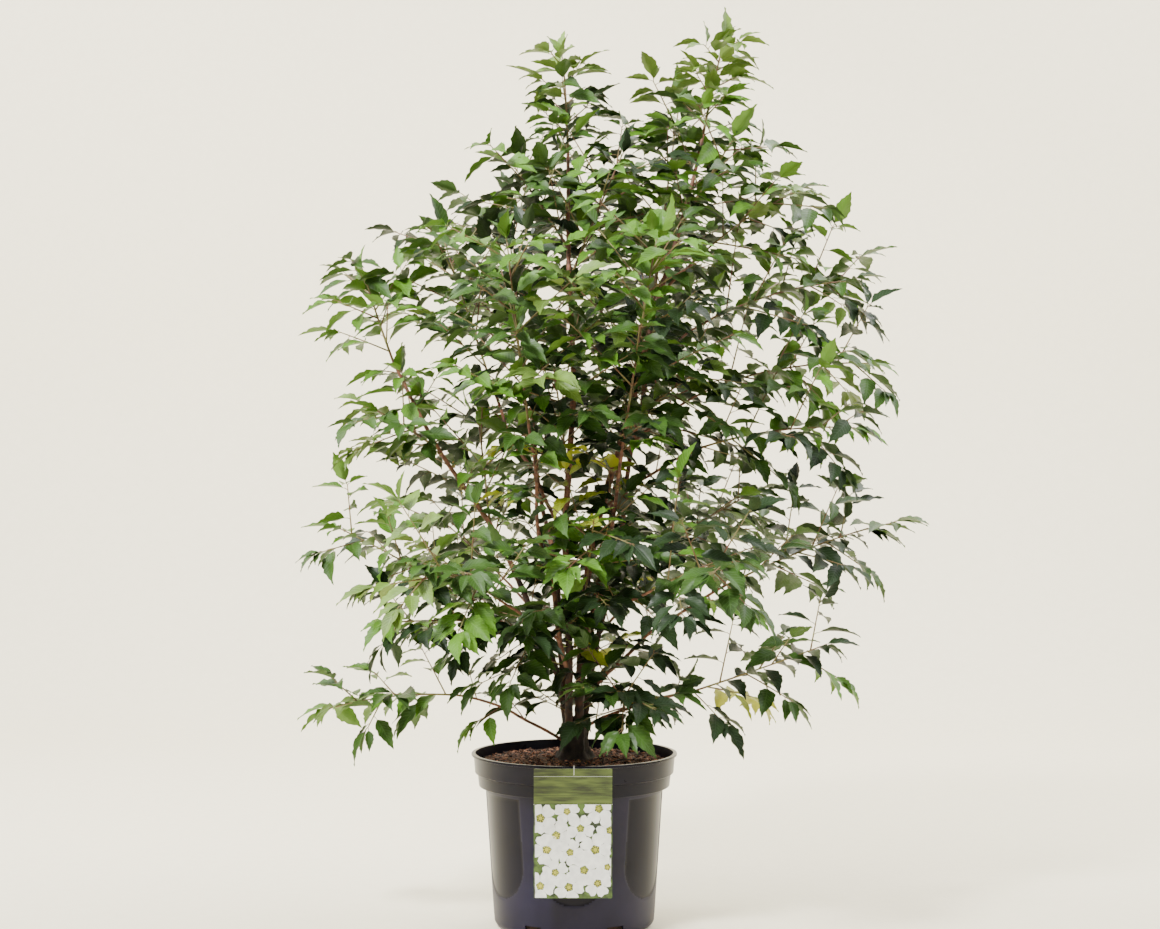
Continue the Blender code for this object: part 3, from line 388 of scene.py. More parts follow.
def relief_group():
    """Shared group: coarse and fine noise on Object coordinates, as a mask and a height."""
    found = bpy.data.node_groups.get("surface relief")
    if found:
        return found
    tree = bpy.data.node_groups.new("surface relief", "ShaderNodeTree")
    for name, value in (("Coarse", 40.0), ("Fine", 400.0), ("Stretch", 1.0)):
        socket = tree.interface.new_socket(name, in_out="INPUT", socket_type="NodeSocketFloat")
        socket.default_value = value
    for name in ("Mask", "Height"):
        tree.interface.new_socket(name, in_out="OUTPUT", socket_type="NodeSocketFloat")
    given = node(tree, "NodeGroupInput")
    place = node(tree, "ShaderNodeTexCoord")["Object"]
    stretch = node(tree, "ShaderNodeCombineXYZ", {0: 1, 1: 1, 2: given["Stretch"]})[0]
    scaled = node(tree, "ShaderNodeVectorMath", {0: place, 1: stretch}, operation="MULTIPLY")[0]
    mask, grain = (node(tree, "ShaderNodeTexNoise",
                        {"Vector": scaled, "Scale": given[name], "Detail": detail})["Fac"]
                   for name, detail in (("Coarse", 4.0), ("Fine", 3.0)))
    node(tree, "NodeGroupOutput", {"Mask": mask, "Height": maths(tree, "ADD", mask, grain)})
    return tree


def surface(name, coarse, fine, stretch=1.0):
    """A new material, its node tree and the mask and height of the shared relief in it."""
    made = bpy.data.materials.new(name)
    made.use_nodes = True
    tree = made.node_tree
    raised = node(tree, "ShaderNodeGroup", {"Coarse": coarse, "Fine": fine, "Stretch": stretch},
                  node_tree=relief_group())
    return made, tree, raised["Mask"], raised["Height"]


def lay(tree, colour, mask, rough, height, bump, distance, specular):
    """Lay a colour on the shader, with its gloss by the mask and bumps by the height."""
    gloss = node(tree, "ShaderNodeMapRange",
                 {"Value": mask, "To Min": rough[0], "To Max": rough[1]})["Result"]
    dents = node(tree, "ShaderNodeBump",
                 {"Height": height, "Strength": bump, "Distance": distance})["Normal"]
    fill(tree, tree.nodes["Principled BSDF"],
         {"Base Color": colour, "Roughness": gloss, "Normal": dents,
          "Specular IOR Level": specular})


def finish(name, dark, light, rough, coarse=40.0, fine=400.0, stretch=1.0, bump=0.2,
           distance=0.0005, ends=(0.35, 0.65), specular=0.5):
    """A material whose colour runs between two tones by the shared relief, with its bump."""
    made, tree, mask, height = surface(name, coarse, fine, stretch)
    lay(tree, tones(tree, mask, ends, dark, light), mask, rough, height, bump, distance, specular)
    return made


def shade(colour, factor):
    """A colour times a factor."""
    return tuple(channel * factor for channel in colour)


def leaf_finish(name, colour):
    """Leaf material: paler rib and side veins from the leaf's own UV map, paler underside."""
    made, tree, mask, _ = surface(name, 28.0, 260.0)
    uv = node(tree, "ShaderNodeUVMap", uv_map="UVMap")[0]
    split = node(tree, "ShaderNodeSeparateXYZ", {0: uv})
    aside = maths(tree, "ABSOLUTE", maths(tree, "SUBTRACT", split["X"], 0.5))
    slant = maths(tree, "MULTIPLY_ADD", aside, -VEIN_SLANT, split["Y"])
    ripple = maths(tree, "SINE", maths(tree, "MULTIPLY", slant, VEIN_WAVES))
    veins = maths(tree, "MAXIMUM", soft_step(tree, ripple, 0.78, 1.0),
                  soft_step(tree, aside, *RIB_EDGES))
    blade = tones(tree, mask, (0.35, 0.68), shade(colour, 0.62), shade(colour, 1.35))
    pale = tuple(min(1.0, c * 1.35 + 0.018) for c in colour)
    above = mixed(tree, maths(tree, "MULTIPLY", veins, 0.6), blade, pale)
    below = (colour[0] * 1.25 + 0.022, colour[1] * 1.10 + 0.030, colour[2] * 1.3 + 0.012)
    side = node(tree, "ShaderNodeNewGeometry")["Backfacing"]
    lay(tree, mixed(tree, side, above, below), mask, (0.34, 0.56), veins, 0.5, 0.0006, 0.32)
    return made


# Limbs

def bezier(p0, p1, p2, p3, t):
    """A point on a cubic Bezier curve."""
    s = 1 - t
    return p0 * s ** 3 + p1 * (3 * s * s * t) + p2 * (3 * s * t * t) + p3 * t ** 3


def limb_line(limb, start, number, fine):
    """Points and radii of a limb by the solids' rule, with a number of points between theirs."""
    tip = Vector(limb.tip)
    chord = (tip - start).length
    bearing = Vector((tip.x - start.x, tip.y - start.y, 0)).normalized()
    side = UP.cross(bearing)
    leave, arrive = radians(limb.leave), radians(limb.arrive)
    first = start + (bearing * cos(leave) + UP * sin(leave)) * chord * LIMB_PULL
    last = tip - (bearing * cos(arrive) + UP * sin(arrive)) * chord * LIMB_PULL
    rng = Random(100 + number)
    phases = [rng.uniform(0, tau) for _ in range(2)]
    wander = min(0.0045, chord * 0.012)
    steps = max(5, round(chord / LIMB_STEP)) * fine
    points, radii = [], []
    for i in range(steps + 1):
        t = i / steps
        hold = sin(pi * t)
        place = bezier(start, first, last, tip, t)
        place += side * (limb.sway * hold + wander * hold * sin(11 * t + phases[0]))
        place += bearing * wander * hold * sin(13 * t + phases[1])
        points.append(place)
        radii.append((limb.tip_d + (limb.base_d - limb.tip_d) * (1 - t) ** 0.8) / 2)
    return points, radii


def at_height(points, height):
    """Where a line first passes a height."""
    for low, high in zip(points, points[1:]):
        if low.z <= height <= high.z:
            return low.lerp(high, (height - low.z) / (high.z - low.z))
    raise ValueError("the limb never passes height %.3f" % height)


def limb_lines(fine):
    """The lines of all limbs by name."""
    coarse, lines = {}, {}
    for number, limb in enumerate(LIMBS):
        if limb.carrier == CROWN:
            start = Vector((*FEET[limb.name], limb.height))
        else:
            start = at_height(coarse[limb.carrier], limb.height)
        coarse[limb.name] = limb_line(limb, start, number, 1)[0]
        lines[limb.name] = limb_line(limb, start, number, fine)
    return lines


def tube(pile, points, radii, sides, relief=0.0, seed=0):
    """Add a round tube with closed ends along a line, its bark raised by noise."""
    heading = (points[1] - points[0]).normalized()
    across = heading.orthogonal().normalized()
    verts = []
    last = len(points) - 1
    run = 0.0
    for i, (place, radius) in enumerate(zip(points, radii)):
        turned = (points[min(i + 1, last)] - points[max(i - 1, 0)]).normalized()
        across = heading.rotation_difference(turned) @ across
        across = (across - turned * across.dot(turned)).normalized()
        heading = turned
        beside = heading.cross(across)
        if i:
            run += (place - points[i - 1]).length
        for k in range(sides):
            angle = tau * k / sides
            out = across * cos(angle) + beside * sin(angle)
            swell = 1.0
            if relief:
                spot = Vector((cos(angle) * 1.3 + seed, sin(angle) * 1.3, run * 130))
                ring = Vector((cos(angle) * 3.1, sin(angle) * 3.1 + seed, run * 620))
                swell += relief * noise.noise(spot) + relief * 0.6 * noise.noise(ring)
                swell += 0.10 * max(0.0, sin(run * tau / BUD_STEP)) ** 12
            verts.append(place + out * radius * swell)
    pile.add([tuple(v) for v in verts], capped_faces(last + 1, sides))


# Leaves

# Along the leaf, and the half width there as a share of the widest
LEAF_OUTLINE = ((0.00, 0.05), (0.05, 0.40), (0.13, 0.74), (0.22, 0.93), (0.32, 1.00), (0.42, 0.97),
                (0.52, 0.87), (0.61, 0.73), (0.70, 0.55), (0.78, 0.38), (0.86, 0.22), (0.93, 0.10))
LEAF_COLUMNS = (-1.0, -0.5, 0.0, 0.5, 1.0)


def leaf_shape(variant, width):
    """A leaf of unit length along +Y: toothed edge, fold along the rib, arch and hooked tip."""
    rng = Random(40 + variant)
    fold = radians(rng.uniform(14, 34))
    arch = rng.uniform(0.10, 0.30)
    twist = rng.uniform(-0.25, 0.25)
    wave = rng.uniform(0.01, 0.035)
    verts, uvs, faces = [], [], []
    for row, (v, half) in enumerate(LEAF_OUTLINE):
        for u in LEAF_COLUMNS:
            edge = abs(u) == 1.0
            tooth = (0.09 if row % 2 else -0.05) if edge and row else 0.0
            reach = u * half * width / 2 * (1 + tooth)
            x = reach * cos(fold)
            z = abs(reach) * sin(fold) + (wave * sin(v * 19 + u * 2) * abs(u) if row > 1 else 0)
            y = v + (0.018 if edge and row % 2 else 0.0)
            turn = twist * v
            x, z = x * cos(turn) - z * sin(turn), x * sin(turn) + z * cos(turn)
            verts.append((x, y - 0.25 * arch * v ** 3, z + 0.35 * arch * v - arch * v ** 2.2))
            uvs.append((0.5 + u / 2, v))
    tip = len(verts)
    verts.append((0.02 * twist, 1 - 0.25 * arch, 0.35 * arch - arch * 1.05))
    uvs.append((0.5, 1.0))
    columns = len(LEAF_COLUMNS)
    for a in range(tip):
        if (a + 1) % columns:
            ends = (tip,) if a + columns >= tip else (a + columns + 1, a + columns)
            faces.append((a, a + 1, *ends))
    return np.array(verts), faces, np.array(uvs)


class Wood:
    """The limbs as segments, to keep leaves clear of them."""

    def __init__(self, lines):
        starts, ends, radii = [], [], []
        for points, widths in lines.values():
            for i in range(len(points) - 1):
                starts.append(points[i])
                ends.append(points[i + 1])
                radii.append(widths[i])
        self.starts = np.array(starts)
        self.along = np.array(ends) - self.starts
        self.square = (self.along ** 2).sum(1)
        self.radii = np.array(radii)

    def clearance(self, place):
        """Distance from a place to the nearest bark."""
        away = np.array(place) - self.starts
        share = np.clip((away * self.along).sum(1) / self.square, 0, 1)
        gap = np.linalg.norm(away - self.along * share[:, None], axis=1)
        return (gap - self.radii).min()


class Foliage:
    """Grows twigs and leaves and gathers them by kind."""

    def __init__(self, settings, lines):
        self.settings = settings
        self.wood = Wood(lines)
        self.leaves = {tint: Pile() for tint in TINTS}
        self.twigs = Pile()
        self.shapes = [leaf_shape(i, settings.width / settings.length) for i in range(LEAF_SHAPES)]
        self.low = Vector(CAD_BOX[0]) - Vector((BOX_SLACK,) * 3)
        self.high = Vector(CAD_BOX[1]) + Vector((BOX_SLACK,) * 3)

    def inside(self, place):
        """Whether a place lies in the frame's box and off the pot."""
        if any(place[i] < self.low[i] or place[i] > self.high[i] for i in range(3)):
            return False
        return place.z > POT_HEIGHT + 0.006 or place.xy.length > RIM_RADIUS + 0.012

    def leaf(self, place, axis, normal, size, tint, rng):
        """Add one leaf with its stalk, unless it would leave the box or touch a limb."""
        side = axis.cross(normal).normalized()
        normal = side.cross(axis).normalized()
        base = place + (axis * 0.9 + normal * 0.3).normalized() * (STALK * size)
        tip = base + axis * size - normal * size * 0.12
        middle = base + axis * size * 0.5
        for spot in (tip, middle, base.lerp(tip, 0.75), middle + side * size * 0.2,
                     middle - side * size * 0.2):
            if not self.inside(spot) or self.wood.clearance(spot) < LEAF_CLEAR:
                return False
        verts, faces, uvs = self.shapes[rng.randrange(len(self.shapes))]
        axes = np.array([side, axis, normal])
        self.leaves[tint].add(verts @ axes * size + np.array(base), faces, uvs)
        bend = place.lerp(base, 0.5) + normal * 0.001
        tube(self.twigs, [place, bend, base + axis * 0.001], [0.0007, 0.0006, 0.0005], 3)
        return True

    def shoot(self, points, base, tip, tint, rng, low, upright=False, size=1.0):
        """Add a twig and its alternate leaves, the youngest smallest at its end."""
        last = len(points) - 1
        radii = [base + (tip - base) * i / last for i in range(last + 1)]
        tube(self.twigs, points, radii, 6 if base > 0.0016 else 5)
        lengths = [(points[i + 1] - points[i]).length for i in range(last)]
        total = sum(lengths)
        count = max(2, round(total * (1 - low) / self.settings.pitch))
        turn = rng.uniform(0, tau)
        for k in range(count):
            t = low + (1 - low) * (k + 0.5) / count
            self.spot(points, lengths, total, t, turn + k * GOLDEN_TURN, k, tint, rng,
                      upright, size * (1.0 - 0.30 * max(0.0, t - 0.7) / 0.3))
        for k in range(3):
            straight = 10 if k == 0 else (24 if upright else 38)
            self.spot(points, lengths, total, 0.995, turn + k * 2.1, k, tint, rng,
                      upright, size * (0.92 if k == 0 else 0.66), straight)

    def spot(self, points, lengths, total, t, roll, k, tint, rng, upright, size, angle=None):
        """Try a leaf at a share of a twig's length, on some sides of it."""
        want = t * total
        i = 0
        while i < len(lengths) - 1 and want > lengths[i]:
            want -= lengths[i]
            i += 1
        heading = (points[i + 1] - points[i]).normalized()
        place = points[i].lerp(points[i + 1], min(1.0, want / lengths[i]))
        flat = heading.cross(UP)
        if flat.length < 0.3:
            flat = heading.orthogonal()
        flat.normalize()
        lift = flat.cross(heading)
        for attempt in range(5):
            if abs(heading.z) < 0.75:
                sway = 1 if (k + attempt) % 2 else -1
                out = flat * sway + lift * rng.uniform(-0.25, 0.45)
            else:
                around = roll + attempt * 1.1
                out = flat * cos(around) + lift * sin(around)
            out.normalize()
            spread = radians(angle if angle else rng.uniform(48, 74))
            axis = heading * cos(spread) + out * sin(spread)
            axis.z -= rng.uniform(0.10, 0.75) * (0.35 if upright else 1.0)
            axis.normalize()
            outward = Vector((place.x - CROWN_X, place.y, 0))
            outward = outward.normalized() if outward.length > 0.02 else Vector((0, -1, 0))
            normal = UP + outward * rng.uniform(0.1, 0.9) + Vector(
                (rng.uniform(-0.45, 0.45), rng.uniform(-0.45, 0.45), 0))
            length = self.settings.length * size * rng.uniform(0.80, 1.10)
            if self.leaf(place, axis, normal, length, tint, rng):
                return


def pick_tint(place, rng):
    """Deal out a spray's colour by how far out, high, forward and left in the crown it is: painted
    light and shade, lighter where the key light falls and darker inside, low, at the back and on
    the right.
    """
    spread = Vector((place.x - CROWN_X, place.y)).length / CROWN_REACH
    height = (place.z - 0.3) / 1.1
    front = -place.y / CROWN_REACH
    left = (CROWN_X - place.x) / CROWN_REACH
    # Made-up light score: shade green, green and bright green are painted shade and light, and
    # some of the most lit sprays get young green as a painted highlight.
    light = 0.36 * spread + 0.38 * height + 0.22 * front + 0.10 * left + rng.uniform(-0.42, 0.42)
    if height < 0.45 and spread < 0.7 and rng.random() < 0.06:
        return "yellow"
    if height > 0.95 or (light > 0.80 and rng.random() < 0.35):
        return "young"
    if light < 0.30:
        return "deep"
    return "mid" if light < 0.64 else "bright"


def bent(start, heading, tip, steps, lift):
    """A gently bent line that leaves along a heading and ends at a tip."""
    middle = start + heading * (tip - start).length * 0.5
    middle = middle.lerp((start + tip) / 2 + UP * lift, 0.5)
    shares = [i / steps for i in range(steps + 1)]
    return [start * (1 - t) ** 2 + middle * 2 * t * (1 - t) + tip * t * t for t in shares]


def grow_mass(growth, mass, lines, number):
    """A mass: its stem, twigs in a spiral round it, and leaves on all of them."""
    rng = Random(500 + number)
    points, widths = lines[mass.limb]
    tip = Vector(mass.tip)
    if mass.height is TIP:
        start, base = points[-1], widths[-1]
        heading = (points[-1] - points[-2]).normalized()
    else:
        start, base = at_height(points, mass.height), 0.0023
        heading = (tip - start).normalized()
    top = mass.name in ("leaves_left_top", "leaves_right_top")
    stem = bent(start, heading, tip, MASS_STEPS, 0.010)
    length = sum((b - a).length for a, b in zip(stem, stem[1:]))
    growth.shoot(stem, base, 0.0011, pick_tint(tip, rng), rng, 0.12, upright=heading.z > 0.85,
                 size=0.86 if top else 1.0)
    count = max(10 if top else 7, round(length * 44 * mass.reach / 0.12))
    turn = rng.uniform(0, tau)
    for k in range(count):
        t = 0.10 + 0.80 * k / (count - 1)
        at = round(t * MASS_STEPS)
        place = stem[at]
        way = (stem[at + 1] - place).normalized()
        out = Matrix.Rotation(turn + GOLDEN_TURN * k, 3, way) @ way.orthogonal().normalized()
        aim = way * cos(TWIG_ANGLE) + out * sin(TWIG_ANGLE) + UP * 0.10
        reach = mass.reach * (1.15 - 0.45 * t) * rng.uniform(0.85, 1.15)
        end = place + aim * reach
        if not growth.inside(end) or growth.wood.clearance(end) < TWIG_CLEAR:
            end = place + aim * reach * 0.6
            if not growth.inside(end):
                continue
        twig = bent(place, (aim + UP * 0.15).normalized(), end, 4, -0.004)
        growth.shoot(twig, *TWIG_RADII, pick_tint(end, rng), rng, 0.22, size=0.95)


def grow_spurs(growth, lines):
    """Short leafy spurs straight from the limbs, above the bare foot."""
    for number, limb in enumerate(LIMBS):
        rng = Random(900 + number)
        points, widths = lines[limb.name]
        run, due = 0.0, 0.02
        turn = rng.uniform(0, tau)
        for i in range(1, len(points)):
            run += (points[i] - points[i - 1]).length
            if run < due or points[i].z < BARE_FOOT:
                continue
            due = run + rng.uniform(0.026, 0.048)
            heading = (points[i] - points[i - 1]).normalized()
            turn += GOLDEN_TURN
            out = Matrix.Rotation(turn, 3, heading) @ heading.orthogonal().normalized()
            start = points[i] + out * widths[i] * 0.7
            aim = (heading * 0.6 + out).normalized()
            end = start + aim * rng.uniform(0.020, 0.070)
            if growth.wood.clearance(end) < SPUR_CLEAR or not growth.inside(end):
                continue
            growth.shoot(bent(start, aim, end, 3, 0.003), *SPUR_RADII, pick_tint(end, rng),
                         rng, 0.35, size=0.92)


# Operators

class BuildWood(bpy.types.Operator):
    """Bark-relief meshes for the root crown, the stems and the boughs"""
    bl_idname = "cherry.wood"
    bl_label = "Stems and boughs"

    def execute(self, context):
        settings = context.scene.cherry_wood
        young = settings.young
        bark = finish("young bark", shade(young, 0.45), shade(young, 1.5), (0.45, 0.75),
                      coarse=60, fine=520, stretch=2.2, bump=0.6, distance=0.0007)
        old = finish("old bark", shade(settings.old, 0.5), shade(settings.old, 1.9), (0.7, 0.95),
                     coarse=90, fine=460, stretch=0.5, bump=0.9, distance=0.0016)
        dark = finish("lower bark", shade(settings.old, 0.7), shade(young, 0.42), (0.6, 0.85),
                      coarse=70, fine=480, stretch=1.2, bump=0.8, distance=0.001)
        lines = limb_lines(BARK_FINE)
        for number, limb in enumerate(LIMBS):
            pile = Pile()
            points, radii = lines[limb.name]
            tube(pile, points, radii, LIMB_SIDES, BARK_RELIEF, number * 3.7)
            springs = limb.carrier == CROWN and limb.name.startswith("stem")
            made = pile.build(limb.name + "_bark", dark if springs else bark)
            if springs:
                made.data.materials.append(bark)
                for polygon in made.data.polygons:
                    height = polygon.center.z
                    edge = BARK_TURN + 0.05 * noise.noise(Vector((number, height * 9, 0)))
                    polygon.material_index = 1 if height > edge else 0
            ride(made, "young_bark", limb.name)
        self.crown(old)
        return {"FINISHED"}

    @staticmethod
    def crown(old):
        """The flared foot, lobed towards the stems that spring from it."""
        rings = ((0.0, 0.0683), (0.009, 0.0672), (0.016, 0.0620), (0.0205, 0.055), (0.0222, 0.046),
                 (0.0216, 0.036), (0.0208, 0.027), (0.0222, 0.019), (0.0255, 0.011),
                 (0.0300, 0.0045), (0.0345, 0.0))
        sides, between = 72, 5
        dense = []
        for (ra, za), (rb, zb) in zip(rings, rings[1:]):
            dense += [(ra + (rb - ra) * i / between, za + (zb - za) * i / between)
                      for i in range(between)]
        dense.append(rings[-1])
        verts = []
        for radius, height in dense:
            for k in range(sides):
                angle = tau * k / sides
                lobe = 1 + 0.09 * sin(5 * angle + 0.6) * min(1.0, radius / 0.02)
                spot = Vector((cos(angle) * 2.2, sin(angle) * 2.2, height * 40))
                lobe += 0.07 * noise.noise(spot) + 0.05 * noise.noise(spot * 4.3)
                verts.append((cos(angle) * radius * lobe, sin(angle) * radius * lobe,
                              MIX_TOP + GAP + height * (1 + 0.02 * noise.noise(spot))))
        pile = Pile()
        pile.add(verts, ring_faces(len(dense), sides, inward=True)
                 + [last_ring(len(dense), sides)[::-1]])
        made = pile.build("root_crown_bark", old)
        clean(made.data)
        ride(made, "old_bark", CROWN)


class BuildFoliage(bpy.types.Operator):
    """Twigs and leaves that replace the masses, joined by kind and tint"""
    bl_idname = "cherry.foliage"
    bl_label = "Twigs and leaves"

    def execute(self, context):
        settings = context.scene.cherry_leaves
        lines = limb_lines(TWIG_FINE)
        growth = Foliage(settings, lines)
        for number, mass in enumerate(MASSES):
            grow_mass(growth, mass, lines, number)
        grow_spurs(growth, lines)
        names = [mass.name for mass in MASSES]
        for tint in TINTS:
            made = growth.leaves[tint].build("foliage_" + tint,
                                             leaf_finish("leaf " + tint, getattr(settings, tint)))
            ride(made, "leaves", *(names if tint == "mid" else ()))
        young = context.scene.cherry_wood.young
        bark = finish("twig bark", shade(young, 0.8), (0.20, 0.19, 0.06), (0.45, 0.7),
                      coarse=50, fine=500, bump=0.3, distance=0.0003)
        ride(growth.twigs.build("foliage_twigs", bark), "young_bark")
        return {"FINISHED"}


class BuildDriedClusters(bpy.types.Operator):
    """Small dried flower clusters on the stems"""
    bl_idname = "cherry.clusters"
    bl_label = "Dried clusters"

    def execute(self, context):
        lines = limb_lines(TWIG_FINE)
        rng = Random(77)
        beads = bmesh.new()
        bmesh.ops.create_icosphere(beads, subdivisions=1, radius=1)
        corners = np.array([tuple(v.co) for v in beads.verts])
        faces = [tuple(v.index for v in f.verts) for f in beads.faces]
        beads.free()
        pile = Pile()
        for name in ("stem_left_leader", "stem_right_leader", "stem_left", "stem_middle",
                     "stem_front_left", "stem_front_right"):
            points, widths = lines[name]
            for _ in range(4):
                i = rng.randrange(len(points) // 3, len(points) - 2)
                out = Vector((rng.uniform(-1, 1), rng.uniform(-1, 1), 0.2)).normalized()
                for _ in range(7):
                    spread = Vector([rng.gauss(0, 0.0030) for _ in range(3)])
                    place = points[i] + out * (widths[i] + 0.004) + spread
                    size = np.array([rng.uniform(0.0014, 0.0026) for _ in range(3)])
                    pile.add(corners * size + np.array(place), faces)
                foot, head = out * widths[i] * 0.6, out * (widths[i] + 0.005)
                tube(pile, [points[i] + foot, points[i] + head], [0.0012, 0.0008], 5)
        dry = finish("dried flowers", (0.16, 0.10, 0.03), (0.42, 0.32, 0.11), (0.7, 0.9),
                     coarse=120, fine=700, bump=0.5)
        ride(pile.build("dried_clusters", dry), "leaves")
        return {"FINISHED"}


def wall_radius(height):
    """Outer radius of the plain wall at a height."""
    return BASE_RADIUS + (WALL_TOP_RADIUS - BASE_RADIUS) * height / LOWER_BAND[1]


def panel_depth(radius, angle, height):
    """How deep the wall is pressed in at a place, by the nearest tongue-shaped panel."""
    step = tau / PANELS
    off = (angle + step / 2) % step - step / 2
    across = abs(off) * radius
    if height > PANEL_FOOT:
        inside = min(PANEL_HALF - across, PANEL_TOP - height)
    else:
        drop = PANEL_FOOT - PANEL_BOTTOM
        inside = (1 - ((across / PANEL_HALF) ** 2 + ((PANEL_FOOT - height) / drop) ** 2) ** 0.5)
        inside *= drop
    share = min(1.0, max(0.0, inside / PANEL_EDGE + 0.5))
    return PANEL_DEPTH * share * share * (3 - 2 * share)


class BuildPot(bpy.types.Operator):
    """The nursery pot with its lip, bands, pressed panels and drain notches"""
    bl_idname = "cherry.pot"
    bl_label = "Pot"

    def execute(self, context):
        plastic = context.scene.cherry_pot.plastic
        gloss = finish("navy plastic", shade(plastic, 0.85), shade(plastic, 1.25), (0.24, 0.34),
                       coarse=14, fine=900, bump=0.04, distance=0.0002, specular=0.16)
        # Rougher, lighter plastic for the ribs and foot: the rougher finish is real, the lighter
        # colour is a painted reflection of the bright floor.
        satin_painted_sheen = finish("navy plastic ribs", shade(plastic, 2.2), shade(plastic, 3.2), (0.34, 0.46),
                       coarse=14, fine=900, bump=0.05, distance=0.0002, specular=0.22)
        profile, wall_start = self.profile()
        verts = []
        for row, (radius, height) in enumerate(profile):
            for k in range(POT_SIDES):
                angle = tau * k / POT_SIDES
                r = radius - (panel_depth(radius, angle, height) if row >= wall_start else 0.0)
                verts.append((r * sin(angle), -r * cos(angle), height))
        pile = Pile()
        pile.add(verts, capped_faces(len(profile), POT_SIDES))
        made = pile.build("pot_shell", gloss)
        clean(made.data)
        self.notch(made)
        # The lighter plastic goes on the lower wall faces outside the panels, as a painted
        # reflection.
        made.data.materials.append(satin_painted_sheen)
        for polygon in made.data.polygons:
            x, y, height = polygon.center
            radius = Vector((x, y)).length
            outside = radius > BASE_RADIUS - 0.004 and height < LOWER_BAND[1] - 0.002
            if outside and panel_depth(radius, atan2(x, -y), height) < 0.0004:
                polygon.material_index = 1
        made.data.shade_smooth()
        made.data.set_sharp_from_angle(angle=radians(38))
        ride(made, "pot_plastic", "pot")
        return {"FINISHED"}

    @staticmethod
    def profile():
        """Radii and heights up the inside and down the outside, and the row of the wall's top."""
        wide, upper = UPPER_BAND
        slim, lower = LOWER_BAND
        inner = [(BASE_RADIUS - WALL - 0.007, 0.004), (BASE_RADIUS - WALL, 0.012),
                 (WALL_TOP_RADIUS - WALL, lower + WALL),
                 (slim - BAND_DRAFT - WALL, lower + 0.0066), (slim - WALL, upper + WALL),
                 (wide - BAND_DRAFT - WALL, upper + 0.0066), (wide - WALL, POT_HEIGHT)]
        bands = [(RIM_RADIUS - 0.0012, 0.2750), (RIM_RADIUS - 0.0003, 0.2747),
                 (RIM_RADIUS, 0.2740), (RIM_RADIUS, 0.2720), (RIM_RADIUS - 0.0004, 0.2713),
                 (RIM_RADIUS - 0.0014, 0.2710), (wide + 0.0003, 0.2708), (wide, 0.2700),
                 (wide - BAND_DRAFT, upper + BAND_EDGE), (wide - BAND_DRAFT - BAND_EDGE, upper),
                 (slim + BAND_EDGE, upper - 0.001), (slim, upper - 0.0016),
                 (slim - BAND_DRAFT, lower + BAND_EDGE), (slim - BAND_DRAFT - BAND_EDGE, lower),
                 (WALL_TOP_RADIUS + 0.0010, lower - 0.001)]
        wall = [(wall_radius(h), h) for h in np.linspace(lower - 0.002, FOOT_ROUND, 84)]
        centre = wall_radius(FOOT_ROUND) - FOOT_ROUND
        foot = [(centre + FOOT_ROUND * cos(a), FOOT_ROUND - FOOT_ROUND * sin(a))
                for a in np.linspace(0.15, pi / 2, 9)]
        return inner + bands + wall + foot, len(inner) + len(bands)

    @staticmethod
    def notch(made):
        """Cut the drain notches under the ribs."""
        cutter = bmesh.new()
        size = Matrix.Diagonal((0.029, 0.016, 0.038, 1))
        for number in range(PANELS):
            block = bmesh.ops.create_cube(cutter, size=1)["verts"]
            turn = Matrix.Rotation((number + 0.5) * tau / PANELS, 4, "Z")
            out = Matrix.Translation((0, -BASE_RADIUS, 0))
            bmesh.ops.transform(cutter, matrix=turn @ out @ size, verts=block)
        mesh = bpy.data.meshes.new("notches")
        cutter.to_mesh(mesh)
        cutter.free()
        blocks = link(bpy.data.objects.new("notches", mesh))
        cut = made.modifiers.new("notches", "BOOLEAN")
        cut.operation = "DIFFERENCE"
        cut.solver = "EXACT"
        cut.object = blocks
        flatten(made)
        bpy.data.objects.remove(blocks)


